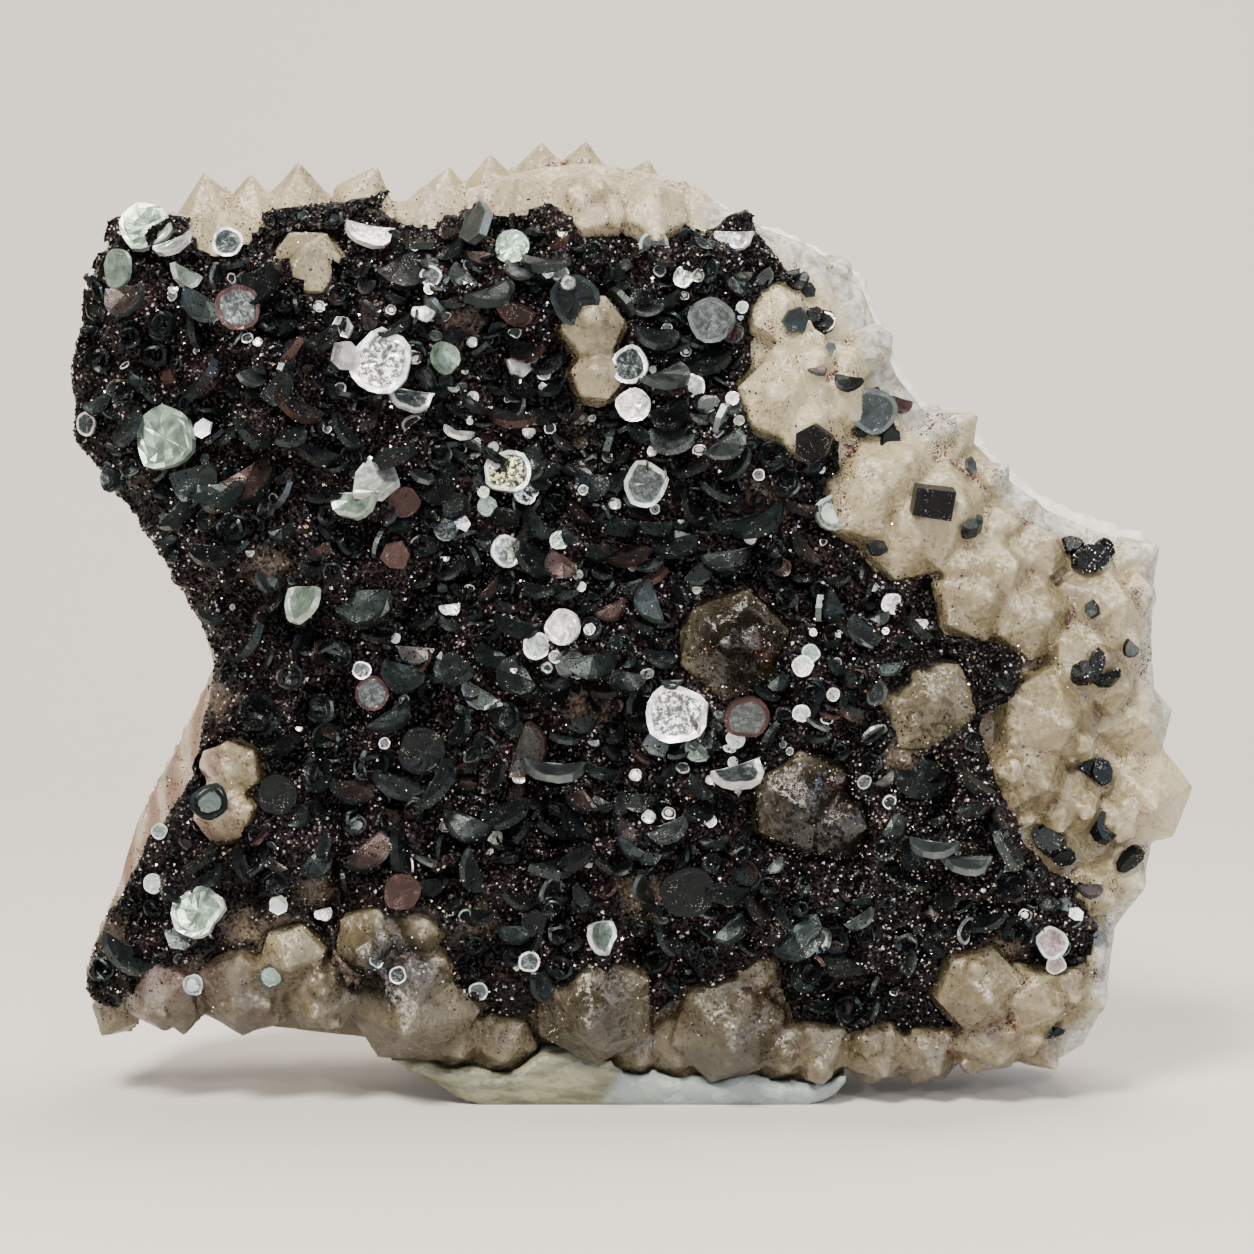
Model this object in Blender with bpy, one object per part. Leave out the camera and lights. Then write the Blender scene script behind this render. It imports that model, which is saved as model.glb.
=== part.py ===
"""Hematite on quartz: a hand-sized mineral specimen that stands on a trimmed foot.

A pale massive quartz matrix carries a layer of grown-together quartz crystals. A dark hematite crust,
bristling with thin plates, covers most of the front, and small separate hematite clusters sit on the
bare quartz at the right. X is right, Y goes back, Z is up. The tables are in millimetres.
"""
import math
import random

import bmesh
import bpy
from mathutils import Matrix, Vector, noise
from mathutils.bvhtree import BVHTree

MM = 0.001
HEIGHT = 78.0          # where the tables' z ends, at the highest crystal
GAP = 0.3              # clearance between two solids that grew against each other
FLAT_ANGLE = math.radians(0.4)   # faces closer than this are one face
SEED = 11

# The plate, seen from the front (x, z), clockwise from the upper left corner.
PLATE_OUTLINE = [
    (-42, 71.5), (-39, 73), (-35.5, 73), (-30, 72.5), (-23.5, 73.5), (-18.5, 74), (-13, 75), (-8, 76.5),
    (-3.5, 77), (1.5, 76.3), (6, 75), (9, 72.8), (14.5, 71), (19.4, 68), (21.2, 63.5), (22.6, 60),
    (25.4, 56.4), (29, 54.6), (31.4, 52), (34.4, 49.6), (39, 47.7), (43.6, 46.4), (43.5, 38), (44, 32),
    (44.2, 26.5), (43.6, 20.5), (42.8, 17), (40.7, 14.2), (40.1, 8), (38, 4), (35, 2.4), (26.5, 2),
    (18.5, 2.2), (11, 3), (1.5, 3.8), (-8, 4.2), (-18.5, 4.3), (-24, 5), (-31, 6), (-35, 8), (-40, 7),
    (-43, 6.5), (-45.2, 10.5), (-43.8, 14.5), (-42, 18.5), (-40.6, 23.5), (-37.2, 29.7), (-34.2, 36),
    (-36, 41.5), (-39, 46.5), (-42.5, 51), (-44.5, 54.5), (-44.5, 60), (-43.5, 65.5),
]
# Where the dark crust covers the front, clockwise from the upper left corner.
CRUST_OUTLINE = [
    (-41.5, 72), (-35.5, 72), (-32, 70.5), (-28.5, 72.5), (-23, 73), (-19, 74), (-20, 72), (-16, 71),
    (-13, 72.5), (-8, 73), (-2, 73), (2, 73.2), (5.5, 70.5), (9.7, 71.3), (13.3, 66.5), (11, 64), (9.5, 61),
    (10.5, 57), (13, 56), (16, 55.5), (17.5, 50), (17, 47.5), (19, 44.5), (24.5, 45), (25.5, 41), (24, 38.5),
    (27.5, 39), (31.5, 37), (30.5, 34), (27.5, 32), (29, 27.5), (31.5, 22), (34, 19.5), (37.5, 18.5),
    (37.8, 14), (35, 10.5), (31.5, 12.5), (26.5, 11), (27, 7.5), (21.5, 5), (14, 6), (11.5, 11.5),
    (8.5, 12), (2, 8), (0.5, 11), (-6, 11), (-8, 8), (-13, 8), (-15, 12), (-19, 12.5), (-22.5, 10),
    (-32, 10), (-34.5, 8), (-42.5, 8.3), (-44, 9.5), (-43, 14), (-40.4, 18.5), (-38.3, 22), (-35.8, 25.5),
    (-34.3, 28.5), (-34, 32), (-33, 37), (-35.5, 41.5), (-38.5, 46.5), (-42, 51), (-44.5, 54.5), (-44.5, 60),
    (-43.5, 65.5),
]
# Broad swells and hollows of the front: x, z, radius, height.
MOUNDS = [
    (-30, 61, 13, 3.0), (-4, 63, 11, 2.5), (9, 52, 9, 1.5), (-12, 43, 7, -2.0), (-13, 27, 8, -1.8),
    (-5, 36, 8, 2.6), (8, 38, 8, 2.0), (-26, 41, 9, 1.5), (-29, 22, 9, 2.4), (-3, 19, 9, 1.6),
    (11, 24, 9, 2.6), (25, 20, 9, 3.4), (24, 35, 8, 1.6), (-17, 60, 8, 1.2), (18, 44, 7, -1.0),
]
RIM_HEIGHT = 1.5       # thickness of the crystal layer at the plate's edge
LAYER_RISE = 4.5       # how much thicker it is away from the edge
RIM_REACH = (5.0, 14.0)  # width of the rounded edge at the left and at the right
LAYER_INSET = (0.9, 1.4)  # the matrix shows this far past the crystal layer, at the left and the right
GRID_STEP = 5.0

# Quartz crystals that show: x, z of the tip, radius, how far the tip stands proud of the layer,
# and the lean of the axis to the right and up.
EDGE_CRYSTALS = [
    (-34.0, 75.6, 3.4, 1.0, -0.3, 2.2), (-30.2, 75.4, 2.6, 1.5, 0.1, 2.2), (-26.4, 76.4, 3.4, 1.0, 0.1, 2.4),
    (-20.0, 76.0, 2.6, 2.0, 0.8, 1.8), (-14.3, 76.0, 3.0, 1.5, 0.2, 1.6), (-11.0, 76.9, 2.6, 2.0, 0.0, 1.5),
    (-7.0, 78.0, 3.6, 1.0, 0.0, 1.8), (-3.4, 78.0, 3.8, 1.5, 0.2, 1.8), (1.6, 76.6, 3.4, 1.0, 0.4, 1.6),
    (4.6, 74.8, 2.8, 1.0, 0.6, 1.2), (27.9, 56.2, 4.6, 3.0, 1.2, 1.0), (30.4, 52.2, 2.0, 2.0, 0.9, 0.9),
    (42.6, 45.8, 3.0, 1.5, 1.2, 0.9), (34.5, 3.4, 2.6, 2.5, 0.6, -0.9), (-42.9, 5.6, 2.2, 1.5, -0.5, -0.9),
]
FACE_CRYSTALS = [
    (-15.5, 73.4, 3.2, 4.0, 0.0, 0.9), (-8.5, 74.6, 3.2, 4.0, 0.0, 0.9), (-3.0, 74.8, 3.4, 4.0, 0.1, 0.9),
    (2.5, 74.0, 3.0, 4.0, 0.3, 0.8), (-32.0, 72.0, 3.4, 4.0, 0.0, 0.9), (12.5, 65.0, 2.6, 3.0, 0.4, 0.4),
    (15.4, 61.0, 3.4, 3.5, 0.6, 0.5), (12.8, 58.1, 3.4, 4.0, 0.4, 0.3), (18.2, 58.8, 2.8, 3.5, 0.8, 0.6),
    (15.2, 56.0, 3.0, 4.0, 0.4, 0.2), (22.2, 53.2, 4.0, 4.0, 0.4, 0.6), (20.0, 50.4, 3.8, 4.0, 0.3, 0.3),
    (26.5, 49.2, 4.6, 4.5, 0.5, 0.3), (22.8, 46.2, 3.2, 3.5, 0.3, 0.1), (30.5, 44.4, 4.2, 4.0, 0.5, 0.3),
    (28.5, 41.8, 3.4, 4.0, 0.3, 0.1), (33.3, 40.4, 3.6, 4.0, 0.4, 0.1), (33.7, 46.4, 2.4, 3.0, 0.6, 0.7),
    (34.7, 31.9, 4.4, 5.0, 0.4, 0.0), (41.4, 31.6, 3.4, 3.0, 0.3, 0.0), (42.0, 25.0, 4.4, 3.5, 0.2, -0.1),
    (37.8, 37.1, 3.4, 4.0, 0.5, 0.1), (39.8, 34.6, 2.4, 3.0, 0.7, 0.0), (39.4, 41.6, 4.4, 3.5, 0.4, 0.3),
    (32.9, 27.0, 3.8, 4.5, 0.4, -0.1), (36.4, 25.0, 2.8, 3.5, 0.5, -0.1), (24.0, 33.9, 4.2, 5.0, 0.1, 0.2),
    (28.5, 9.9, 3.6, 5.0, 0.2, -0.2), (33.9, 8.6, 2.8, 4.0, 0.5, -0.3), (29.7, 4.4, 3.4, 4.0, 0.2, -0.6),
    (38.2, 8.6, 3.2, 3.0, 0.9, -0.4), (38.6, 13.2, 2.8, 2.5, 0.9, -0.2), (41.4, 18.2, 3.2, 2.5, 0.9, -0.3),
    (8.3, 5.8, 4.8, 5.5, 0.1, -0.3), (4.0, 4.0, 3.2, 4.0, 0.0, -0.5), (-3.2, 7.8, 5.2, 5.5, -0.1, -0.3),
    (0.9, 4.0, 2.8, 4.0, 0.1, -0.5), (-17.8, 7.2, 5.6, 5.5, -0.1, -0.4), (-13.4, 4.7, 3.0, 4.0, 0.2, -0.6),
    (-31.6, 8.0, 4.2, 4.5, -0.2, -0.6), (-10.0, 4.4, 3.0, 4.5, 0.1, -0.5), (15.8, 3.4, 3.2, 4.0, 0.2, -0.6),
    (20.6, 3.2, 3.0, 4.0, 0.2, -0.6), (12.6, 3.5, 3.0, 4.0, 0.1, -0.6), (24.9, 3.2, 3.0, 3.5, 0.3, -0.6),
    (-25.0, 8.4, 3.2, 4.0, -0.1, -0.5), (-38.6, 8.4, 3.6, 4.0, -0.3, -0.5),
    (-20.7, 13.7, 3.2, 4.5, -0.1, -0.2), (-16.4, 14.9, 3.4, 4.5, 0, -0.2), (-27, 12.6, 2.8, 4, -0.1, -0.2),
    (-25.2, 69.2, 3, 4, 0.0, 0.5), (-2.6, 63.6, 2.6, 4.5, 0.1, 0.2), (-2.2, 59.5, 2.2, 4.0, 0.1, 0.1),
    (8.7, 38.3, 4.6, 5.0, 0.1, 0.1), (14.0, 25.4, 4.2, 5, 0.1, -0.1), (17.2, 23.4, 2.6, 4, 0.3, -0.1),
    (-32.4, 24.8, 2.6, 4.2, -0.2, 0.0), (-31.6, 28.4, 2.4, 4.2, -0.1, 0.1),
]
EDGE_SLOPE = 1.2       # height of a point over its radius, in the sharp row along the top
FACE_SLOPE = 0.75      # the same for the blunt, etched crystals of the face
DEEPEST_ROOT = 12.0    # longest prism under a point
SMALL_CRYSTALS = 20    # small ones between the large, on the bare quartz
SMALL_RADIUS = (1.2, 2.1)

# The matrix behind, and the foot it stands on.
BACK_DEPTH = (17.0, 11.0)  # thickness of the matrix at the foot and at the top
BACK_EDGE = 0.35           # share of it that is left at the broken edge
BACK_ROUNDING = 13.0       # how far in from the edge the full thickness is reached
BACK_ROUGHNESS = 1.8
BACK_TAPER = 0.95
MATRIX_STEP = 6.0
FOOT_BACK = 15.0
FOOT_FRONT = 6.0
FOOT_OUTLINE = [
    (-21.5, 5.2), (-19, 3.8), (-16, 2.6), (-14, 1.2), (-12.5, 0.6), (15, 0.6), (16.6, 1.3), (17.6, 2.4),
    (18.5, 4.4),
]
FOOT_ROOT = [(-17, 3.6), (-13.5, 1.1), (-12, 0.6), (14.6, 0.6), (17, 2.4), (17, 10), (-18, 10)]

# Crust and the plates that stand on it.
CRUST_THICKNESS = 1.2
LUMP_HEIGHT = 2.9      # the crust is humped where it drapes over a buried crystal
LUMP_SPACING = 8.5
LUMP_EDGE = 5.0        # the humps die away over this width at the plate's edge
CRUST_STEP = 3.5
PLATE_THICKNESS = 0.7
PLATE_ROOT = 1.6       # a plate that faces the viewer goes this much deeper, into the crust
PLATE_STAND = 0.6      # a plate's middle stands this far before the crust, or further if it is on edge
PLATE_SIDES = 8
# Larger plates by place: x, z, diameter, turn to the right and tilt up in degrees.
PLATES = [
    (-40.9, 67.9, 3.0, -45, 0), (-36.1, 69.4, 4.5, 30, 20), (-31.4, 64.7, 3.5, -5, 10),
    (-21.0, 71.0, 3.8, 20, 30), (-19.9, 60.3, 4.6, -5, 8), (-22.1, 60.4, 3.0, -35, 5),
    (-17.5, 58.0, 3.8, 10, 25), (-37.1, 54.1, 4.8, -20, 15),
    (-21.1, 49.6, 5.2, -30, 25), (-17.9, 49.6, 3.2, 15, -20), (-25.6, 41.2, 4.0, -50, 20),
    (-4.4, 65.4, 3.5, 10, -25), (-8.8, 65.0, 3.6, -25, -20), (-11.9, 71.2, 3.6, -60, 20),
    (-11.5, 65.4, 4.2, 10, 60), (-6.4, 68.2, 4.2, -15, 60), (6.7, 63.8, 3.7, -10, -15),
    (8.6, 70.6, 3.0, -10, 15),
    (0.2, 60.1, 3.2, -20, 10), (0.4, 56.9, 3.2, -5, 5), (2.4, 58.9, 4.5, 25, 60),
    (1.4, 50.6, 3.4, -5, -5), (-9.7, 50.8, 4.0, 0, 25), (-5.2, 39.0, 3.0, -5, 8),
    (3.9, 32.0, 4.6, -8, 8), (9.5, 31.9, 3.5, 5, -20), (8.3, 27.4, 4.0, 15, 45), (15.0, 53.8, 3.2, -25, 30),
    (26.9, 20.2, 4.5, 15, 45), (-34.6, 16.0, 3.8, -20, 15), (-2.7, 14.5, 3.4, 35, 5),
    (-16.7, 29.1, 3.7, 10, -25), (-28.2, 25.8, 3.3, -10, -25), (-20.7, 33.7, 2.9, 5, 0),
    (-5.8, 27.4, 4.8, 0, 65),
    (-18.3, 17.8, 3.0, 10, -15), (4.7, 17.8, 4.6, 5, -30),
]
SCATTERED_PLATES = 14
SCATTERED_DIAMETER = (3.0, 4.4)

# Hematite that grew apart from the crust, on the bare quartz: name, then its blades. A blade is x, z,
# width, height, thickness, turn to the right and tilt up in degrees, and roll in its own plane.
CLUSTERS = {
    "hematite_rosette_upper": [
        (19.2, 56.4, 3.4, 3.4, 0.9, 5, -5, 0), (17.9, 58.0, 2.6, 2.0, 0.8, -50, 30, 20),
        (19.8, 57.1, 2.8, 1.6, 0.8, 60, 20, 60), (20.4, 54.9, 2.0, 2.0, 0.8, 40, -50, 0),
        (18.2, 54.8, 2.2, 1.5, 0.8, -40, -55, 0),
    ],
    "hematite_block_upper": [(23.9, 49.4, 3.1, 2.3, 1.6, 5, 35, -8)],
    "hematite_pair_upper": [
        (13.4, 63.6, 2.4, 2.4, 1.2, 15, 20, 10), (15.5, 63.5, 2.2, 1.8, 0.8, 5, 35, 30),
        (14.5, 63.9, 2.2, 1.4, 1.4, 0, 10, 0),
    ],
    "hematite_tuft_right": [
        (36.8, 44.6, 3.4, 2.6, 2.2, 10, 10, 0), (38.0, 45.3, 2.2, 1.8, 1.0, 40, 30, 30),
        (35.4, 45.6, 2.4, 1.6, 1.2, -20, 30, -20), (36.8, 42.8, 1.8, 2.2, 1.2, 0, -30, 15),
    ],
    "hematite_tuft_middle": [
        (36.0, 35.9, 2.6, 1.8, 1.2, -20, 35, 0), (37.9, 35.5, 2.6, 1.6, 1.0, 25, 40, -10),
        (36.9, 36.7, 2.4, 1.4, 1.2, 0, 0, 60),
    ],
    "hematite_pair_lower": [
        (35.8, 27.9, 2.0, 1.8, 1.2, -10, 20, 15), (37.6, 27.6, 2.2, 2.6, 1.2, 25, 10, -20),
        (36.8, 28.0, 2.2, 1.2, 1.2, 0, 0, 0),
    ],
    "hematite_wedge_lower": [
        (33.4, 22.6, 2.8, 3.2, 1.4, -10, 15, 20), (34.6, 21.0, 2.4, 1.6, 1.2, 20, -20, -30),
    ],
    "hematite_blade_lower": [(37.9, 23.3, 2.2, 2.8, 1.2, 20, 15, -15)],
    "hematite_chip_edge": [(40.0, 20.6, 3.0, 1.3, 1.2, 25, -20, 15)],
    "hematite_chip_bottom": [(33.6, 6.6, 3.0, 1.0, 1.2, 15, 10, -15)],
    "hematite_chip_green": [(27.0, 47.4, 2.4, 1.5, 1.2, 10, 40, 10)],
}

QUARTZ_COLOUR = (0.62, 0.54, 0.43)
MATRIX_COLOUR = (0.66, 0.66, 0.58)
CRUST_COLOUR = (0.045, 0.040, 0.048)
PLATE_COLOUR = (0.12, 0.14, 0.15)


def clear_scene():
    for obj in list(bpy.data.objects):
        bpy.data.objects.remove(obj)


def material(name, colour, roughness, metallic):
    made = bpy.data.materials.new(name)
    made.use_nodes = True
    shader = made.node_tree.nodes["Principled BSDF"]
    shader.inputs["Base Color"].default_value = (*colour, 1.0)
    shader.inputs["Roughness"].default_value = roughness
    shader.inputs["Metallic"].default_value = metallic
    return made


def object_of(name, bm):
    """A new object in the scene from a bmesh in millimetres, which it frees."""
    bmesh.ops.recalc_face_normals(bm, faces=bm.faces)
    mesh = bpy.data.meshes.new(name)
    bm.to_mesh(mesh)
    bm.free()
    obj = bpy.data.objects.new(name, mesh)
    bpy.context.scene.collection.objects.link(obj)
    return obj


def discard(obj):
    bpy.data.objects.remove(obj)


def triangulate(obj):
    bm = bmesh.new()
    bm.from_mesh(obj.data)
    bmesh.ops.triangulate(bm, faces=bm.faces)
    bm.to_mesh(obj.data)
    bm.free()


def boolean(target, other, operation):
    """Joins, cuts or crosses target with other, which is used up.

    The exact solver loses parts of the druse where crystals cross at shallow angles, so this is the
    manifold one. Both solids are closed, and are split into triangles first."""
    triangulate(target)
    triangulate(other)
    modifier = target.modifiers.new(operation, "BOOLEAN")
    modifier.operation = operation
    modifier.solver = "MANIFOLD"
    modifier.object = other
    graph = bpy.context.evaluated_depsgraph_get()
    target.data = bpy.data.meshes.new_from_object(target.evaluated_get(graph))
    target.modifiers.clear()
    discard(other)
    return target


def tidy(obj):
    """Clears the slivers and coplanar edges that Booleans leave, and drops all but the largest body.

    Merging close points may pinch a thin place shut, so a smaller distance is tried until none is."""
    for distance in (0.004, 0.001, 0.0002, 0.0):
        bm = bmesh.new()
        bm.from_mesh(obj.data)
        bmesh.ops.triangulate(bm, faces=bm.faces)
        bmesh.ops.remove_doubles(bm, verts=bm.verts, dist=distance)
        bmesh.ops.dissolve_degenerate(bm, edges=bm.edges, dist=distance)
        bmesh.ops.dissolve_limit(bm, angle_limit=FLAT_ANGLE, verts=bm.verts, edges=bm.edges)
        bmesh.ops.triangulate(bm, faces=bm.faces)
        if all(edge.is_manifold for edge in bm.edges):
            break
        bm.free()
    bmesh.ops.delete(bm, geom=smaller_bodies(bm), context="VERTS")
    bmesh.ops.recalc_face_normals(bm, faces=bm.faces)
    bm.to_mesh(obj.data)
    bm.free()
    return obj


def smaller_bodies(bm):
    """The vertices of every body but the one with the most vertices."""
    bodies = []
    seen = set()
    for start in bm.verts:
        if start in seen:
            continue
        body = {start}
        front = [start]
        while front:
            for edge in front.pop().link_edges:
                for vert in edge.verts:
                    if vert not in body:
                        body.add(vert)
                        front.append(vert)
        seen |= body
        bodies.append(body)
    largest = max(bodies, key=len)
    return [vert for body in bodies if body is not largest for vert in body]


def smooth(t):
    t = min(max(t, 0.0), 1.0)
    return t * t * (3 - 2 * t)


def edge_distance(x, z, outline=PLATE_OUTLINE):
    """Distance in from the outline, negative outside it."""
    point = Vector((x, z))
    inside = False
    nearest = math.inf
    for (ax, az), (bx, bz) in zip(outline, outline[1:] + outline[:1]):
        a = Vector((ax, az))
        side = Vector((bx, bz)) - a
        share = min(max((point - a).dot(side) / side.length_squared, 0.0), 1.0)
        nearest = min(nearest, (a + side * share - point).length)
        if (az > z) != (bz > z) and x < ax + (z - az) * (bx - ax) / (bz - az):
            inside = not inside
    return nearest if inside else -nearest


def layer_height(x, z):
    """How far the quartz layer's front stands before its flat back: thin and rounded at the rim."""
    reach = RIM_REACH[0] + (RIM_REACH[1] - RIM_REACH[0]) * smooth(x / 25)
    inward = min(max(edge_distance(x, z) / reach, 0.0), 1.0)
    swell = sum(
        height * math.exp(-((x - mx) ** 2 + (z - mz) ** 2) / radius**2) for mx, mz, radius, height in MOUNDS
    )
    return RIM_HEIGHT + LAYER_RISE * math.sqrt(1 - (1 - inward) ** 2) + swell * inward


def crust_height(x, z):
    """The crust's lumpy front, in the same measure."""
    nearest = noise.voronoi(Vector((x, 0, z)) / LUMP_SPACING)[0][0]
    hump = LUMP_HEIGHT * (1 - 2.4 * min(nearest, 0.65) ** 2) * smooth(edge_distance(x, z) / LUMP_EDGE)
    return layer_height(x, z) + GAP + CRUST_THICKNESS + hump


def back_depth(x, z):
    """The broken back of the matrix."""
    low, high = BACK_DEPTH
    rough = noise.noise(Vector((x, 20, z)) * 0.09) + 1.1 * noise.noise(Vector((x, 31, z)) * 0.21)
    inward = min(max(edge_distance(x, z) / BACK_ROUNDING, 0.0), 1.0)
    rounding = BACK_EDGE + (1 - BACK_EDGE) * math.sqrt(1 - (1 - inward) ** 2)
    return (low + (high - low) * smooth(z / HEIGHT)) * rounding + BACK_ROUGHNESS * rough


def prism(name, outline, front, back, taper=1.0):
    """The outline extruded from y = front to y = back, its back face shrunk about its centre."""
    bm = bmesh.new()
    face = bm.faces.new([bm.verts.new((x, front, z)) for x, z in outline])
    middle = face.calc_center_median()
    grown = bmesh.ops.extrude_face_region(bm, geom=[face])
    for vert in (item for item in grown["geom"] if isinstance(item, bmesh.types.BMVert)):
        vert.co.y = back
        vert.co.x = middle.x + (vert.co.x - middle.x) * taper
        vert.co.z = middle.z + (vert.co.z - middle.z) * taper
    return object_of(name, bm)


def relief_slab(name, outline, front, back, step, taper=1.0):
    """A slab between two surfaces y = front(x, z) and y = back(x, z), trimmed to the outline."""
    reach = 50.0
    cells = round(2 * reach / step)
    bm = bmesh.new()
    upright = Matrix.Translation((0, 0, HEIGHT / 2)) @ Matrix.Rotation(math.radians(90), 4, "X")
    bmesh.ops.create_grid(bm, x_segments=cells, y_segments=cells, size=reach, matrix=upright)
    grown = bmesh.ops.extrude_face_region(bm, geom=list(bm.faces))
    rear = {item for item in grown["geom"] if isinstance(item, bmesh.types.BMVert)}
    for vert in bm.verts:
        surface = back if vert in rear else front
        vert.co.y = surface(vert.co.x, vert.co.z)
    slab = object_of(name, bm)
    return boolean(slab, prism("trim", outline, -60.0, 60.0, taper), "INTERSECT")


def layer_outline(grow):
    """The plate's outline moved inwards, each corner along the mean of its two sides' normals."""
    left, right = LAYER_INSET
    moved = []
    outline = PLATE_OUTLINE
    corners = [Vector(point) for point in outline]
    for before, corner, after in zip(corners[-1:] + corners[:-1], corners, corners[1:] + corners[:1]):
        distance = left + (right - left) * smooth(corner.x / 20) - grow
        normal = ((corner - before).normalized() + (after - corner).normalized()).normalized()
        moved.append((corner.x + normal.y * distance, corner.y - normal.x * distance))
    return moved


def quartz_crystal(bm, tip, axis, radius, slope, length, twist, grow):
    """A six-sided prism with a six-sided point at tip, its free end along axis."""
    wide = radius + grow / math.cos(math.radians(30))
    turn = axis.to_track_quat("Z", "Y").to_matrix().to_4x4() @ Matrix.Rotation(twist, 4, "Z")
    rise = slope * wide
    summit = tip + axis * grow * math.hypot(1, slope) * 1.1
    made = bmesh.ops.create_circle(bm, cap_ends=True, segments=6, radius=wide, matrix=turn)
    base = made["verts"][0].link_faces[0]
    bmesh.ops.translate(bm, verts=base.verts, vec=summit - axis * (rise + length))
    grown = bmesh.ops.extrude_face_region(bm, geom=[base])
    shoulder = [item for item in grown["geom"] if isinstance(item, bmesh.types.BMVert)]
    top = [item for item in grown["geom"] if isinstance(item, bmesh.types.BMFace)]
    bmesh.ops.translate(bm, verts=shoulder, vec=axis * length)
    poked = bmesh.ops.poke(bm, faces=top)
    bmesh.ops.translate(bm, verts=poked["verts"], vec=axis * rise)


def crystal_rows():
    """Every crystal of the druse: those placed by hand, then small ones scattered over the bare quartz."""
    rng = random.Random(SEED)
    rows = [(*row, EDGE_SLOPE, rng.uniform(0, math.tau)) for row in EDGE_CRYSTALS]
    rows += [(*row, FACE_SLOPE, rng.uniform(0, math.tau)) for row in FACE_CRYSTALS]
    left = SMALL_CRYSTALS
    while left:
        x, z = rng.uniform(-44, 44), rng.uniform(3, 76)
        bare = edge_distance(x, z, CRUST_OUTLINE) < -0.5 and edge_distance(x, z) > 1.5
        if not bare:
            continue
        radius, proud = rng.uniform(*SMALL_RADIUS), rng.uniform(2.2, 3.6)
        lean_x = x / 60 + rng.uniform(-0.4, 0.4)
        lean_z = (z - HEIGHT / 2) / 70 + rng.uniform(-0.4, 0.4)
        rows.append((x, z, radius, proud, lean_x, lean_z, FACE_SLOPE, rng.uniform(0, math.tau)))
        left -= 1
    return rows


def quartz(name, grow=0.0):
    """The druse: the crystal layer and all its crystals in one solid, cut flat behind."""
    slab = relief_slab(
        name,
        layer_outline(grow),
        lambda x, z: -layer_height(x, z) - grow,
        lambda x, z: grow,
        GRID_STEP,
    )
    for x, z, radius, proud, lean_x, lean_z, slope, twist in crystal_rows():
        axis = Vector((lean_x, -1, lean_z)).normalized()
        tip = Vector((x, -layer_height(x, z) - proud, z))
        reach = (tip.y + 0.8) / axis.y - radius * slope
        length = min(max(reach, 1.5), DEEPEST_ROOT)
        bm = bmesh.new()
        quartz_crystal(bm, tip, axis, radius, slope, length, twist, grow)
        boolean(slab, object_of("crystal", bm), "UNION")
    behind = bmesh.new()
    bmesh.ops.create_cube(behind, size=200.0, matrix=Matrix.Translation((0, 100 + grow, 0)))
    return boolean(slab, object_of("behind", behind), "DIFFERENCE")


def matrix_rock():
    """Massive quartz behind the crystals, with a flat trimmed foot that comes forward under them."""
    front = 0.8 * GAP
    rock = relief_slab("matrix", PLATE_OUTLINE, lambda x, z: front, back_depth, MATRIX_STEP, BACK_TAPER)
    boolean(rock, prism("foot_root", FOOT_ROOT, front + 0.2, FOOT_BACK), "UNION")
    boolean(rock, prism("foot", FOOT_OUTLINE, -FOOT_FRONT, 6.0), "UNION")
    return rock


def surface_point(ground, x, z):
    """Where the viewer sees the ground at x, z."""
    return ground.ray_cast(Vector((x, -50, z)), Vector((0, 1, 0)))[0]


def facing(turn, tilt):
    """Rotation that lays a flat thing's face towards the viewer, turned to the right and tilted up."""
    return (
        Matrix.Rotation(math.radians(turn), 4, "Z")
        @ Matrix.Rotation(math.radians(90 - tilt), 4, "X")
    )


def plate(surface, diameter, sides, turn, tilt):
    """A flat crystal that grows out of the surface point."""
    on_edge = math.sin(math.radians(max(abs(turn), abs(tilt))))
    root = PLATE_ROOT * (1 - on_edge)
    centre = surface + Vector((0, root / 2 - max(PLATE_STAND, 0.35 * diameter * on_edge), 0))
    bm = bmesh.new()
    bmesh.ops.create_cone(
        bm, cap_ends=True, segments=sides, radius1=diameter / 2, radius2=diameter / 2,
        depth=PLATE_THICKNESS + root, matrix=Matrix.Translation(centre) @ facing(turn, tilt),
    )
    return object_of("plate", bm)


def plate_rows():
    """The larger plates placed by hand, then others scattered over the crust."""
    rng = random.Random(SEED + 1)
    rows = [(*row, PLATE_SIDES) for row in PLATES]
    while len(rows) < len(PLATES) + SCATTERED_PLATES:
        x, z = rng.uniform(-43, 37), rng.uniform(9, 72)
        clear = all(math.hypot(x - row[0], z - row[1]) > 4.6 for row in rows)
        if clear and edge_distance(x, z, CRUST_OUTLINE) > 1.6:
            diameter = rng.uniform(*SCATTERED_DIAMETER)
            rows.append((x, z, diameter, rng.uniform(-70, 70), rng.uniform(-50, 75), PLATE_SIDES - 2))
    return rows


def hematite_crust():
    """The dark crust: a lumpy sheet over the quartz with its plates grown into it."""
    crust = relief_slab(
        "hematite_crust", CRUST_OUTLINE, lambda x, z: -crust_height(x, z), lambda x, z: 0.0, CRUST_STEP
    )
    ground = BVHTree.FromObject(crust, bpy.context.evaluated_depsgraph_get())
    for x, z, diameter, turn, tilt, sides in plate_rows():
        boolean(crust, plate(surface_point(ground, x, z), diameter, sides, turn, tilt), "UNION")
    return crust


def blade(bm, centre, width, height, thickness, turn, tilt, roll):
    """A thick tabular crystal with cut corners."""
    place = (
        Matrix.Translation(centre)
        @ facing(turn, tilt)
        @ Matrix.Rotation(math.radians(roll + 22.5), 4, "Z")
        @ Matrix.Diagonal((width / 2, height / 2, 1, 1))
    )
    bmesh.ops.create_cone(
        bm, cap_ends=True, segments=PLATE_SIDES, radius1=1, radius2=0.86, depth=thickness, matrix=place
    )


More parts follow.
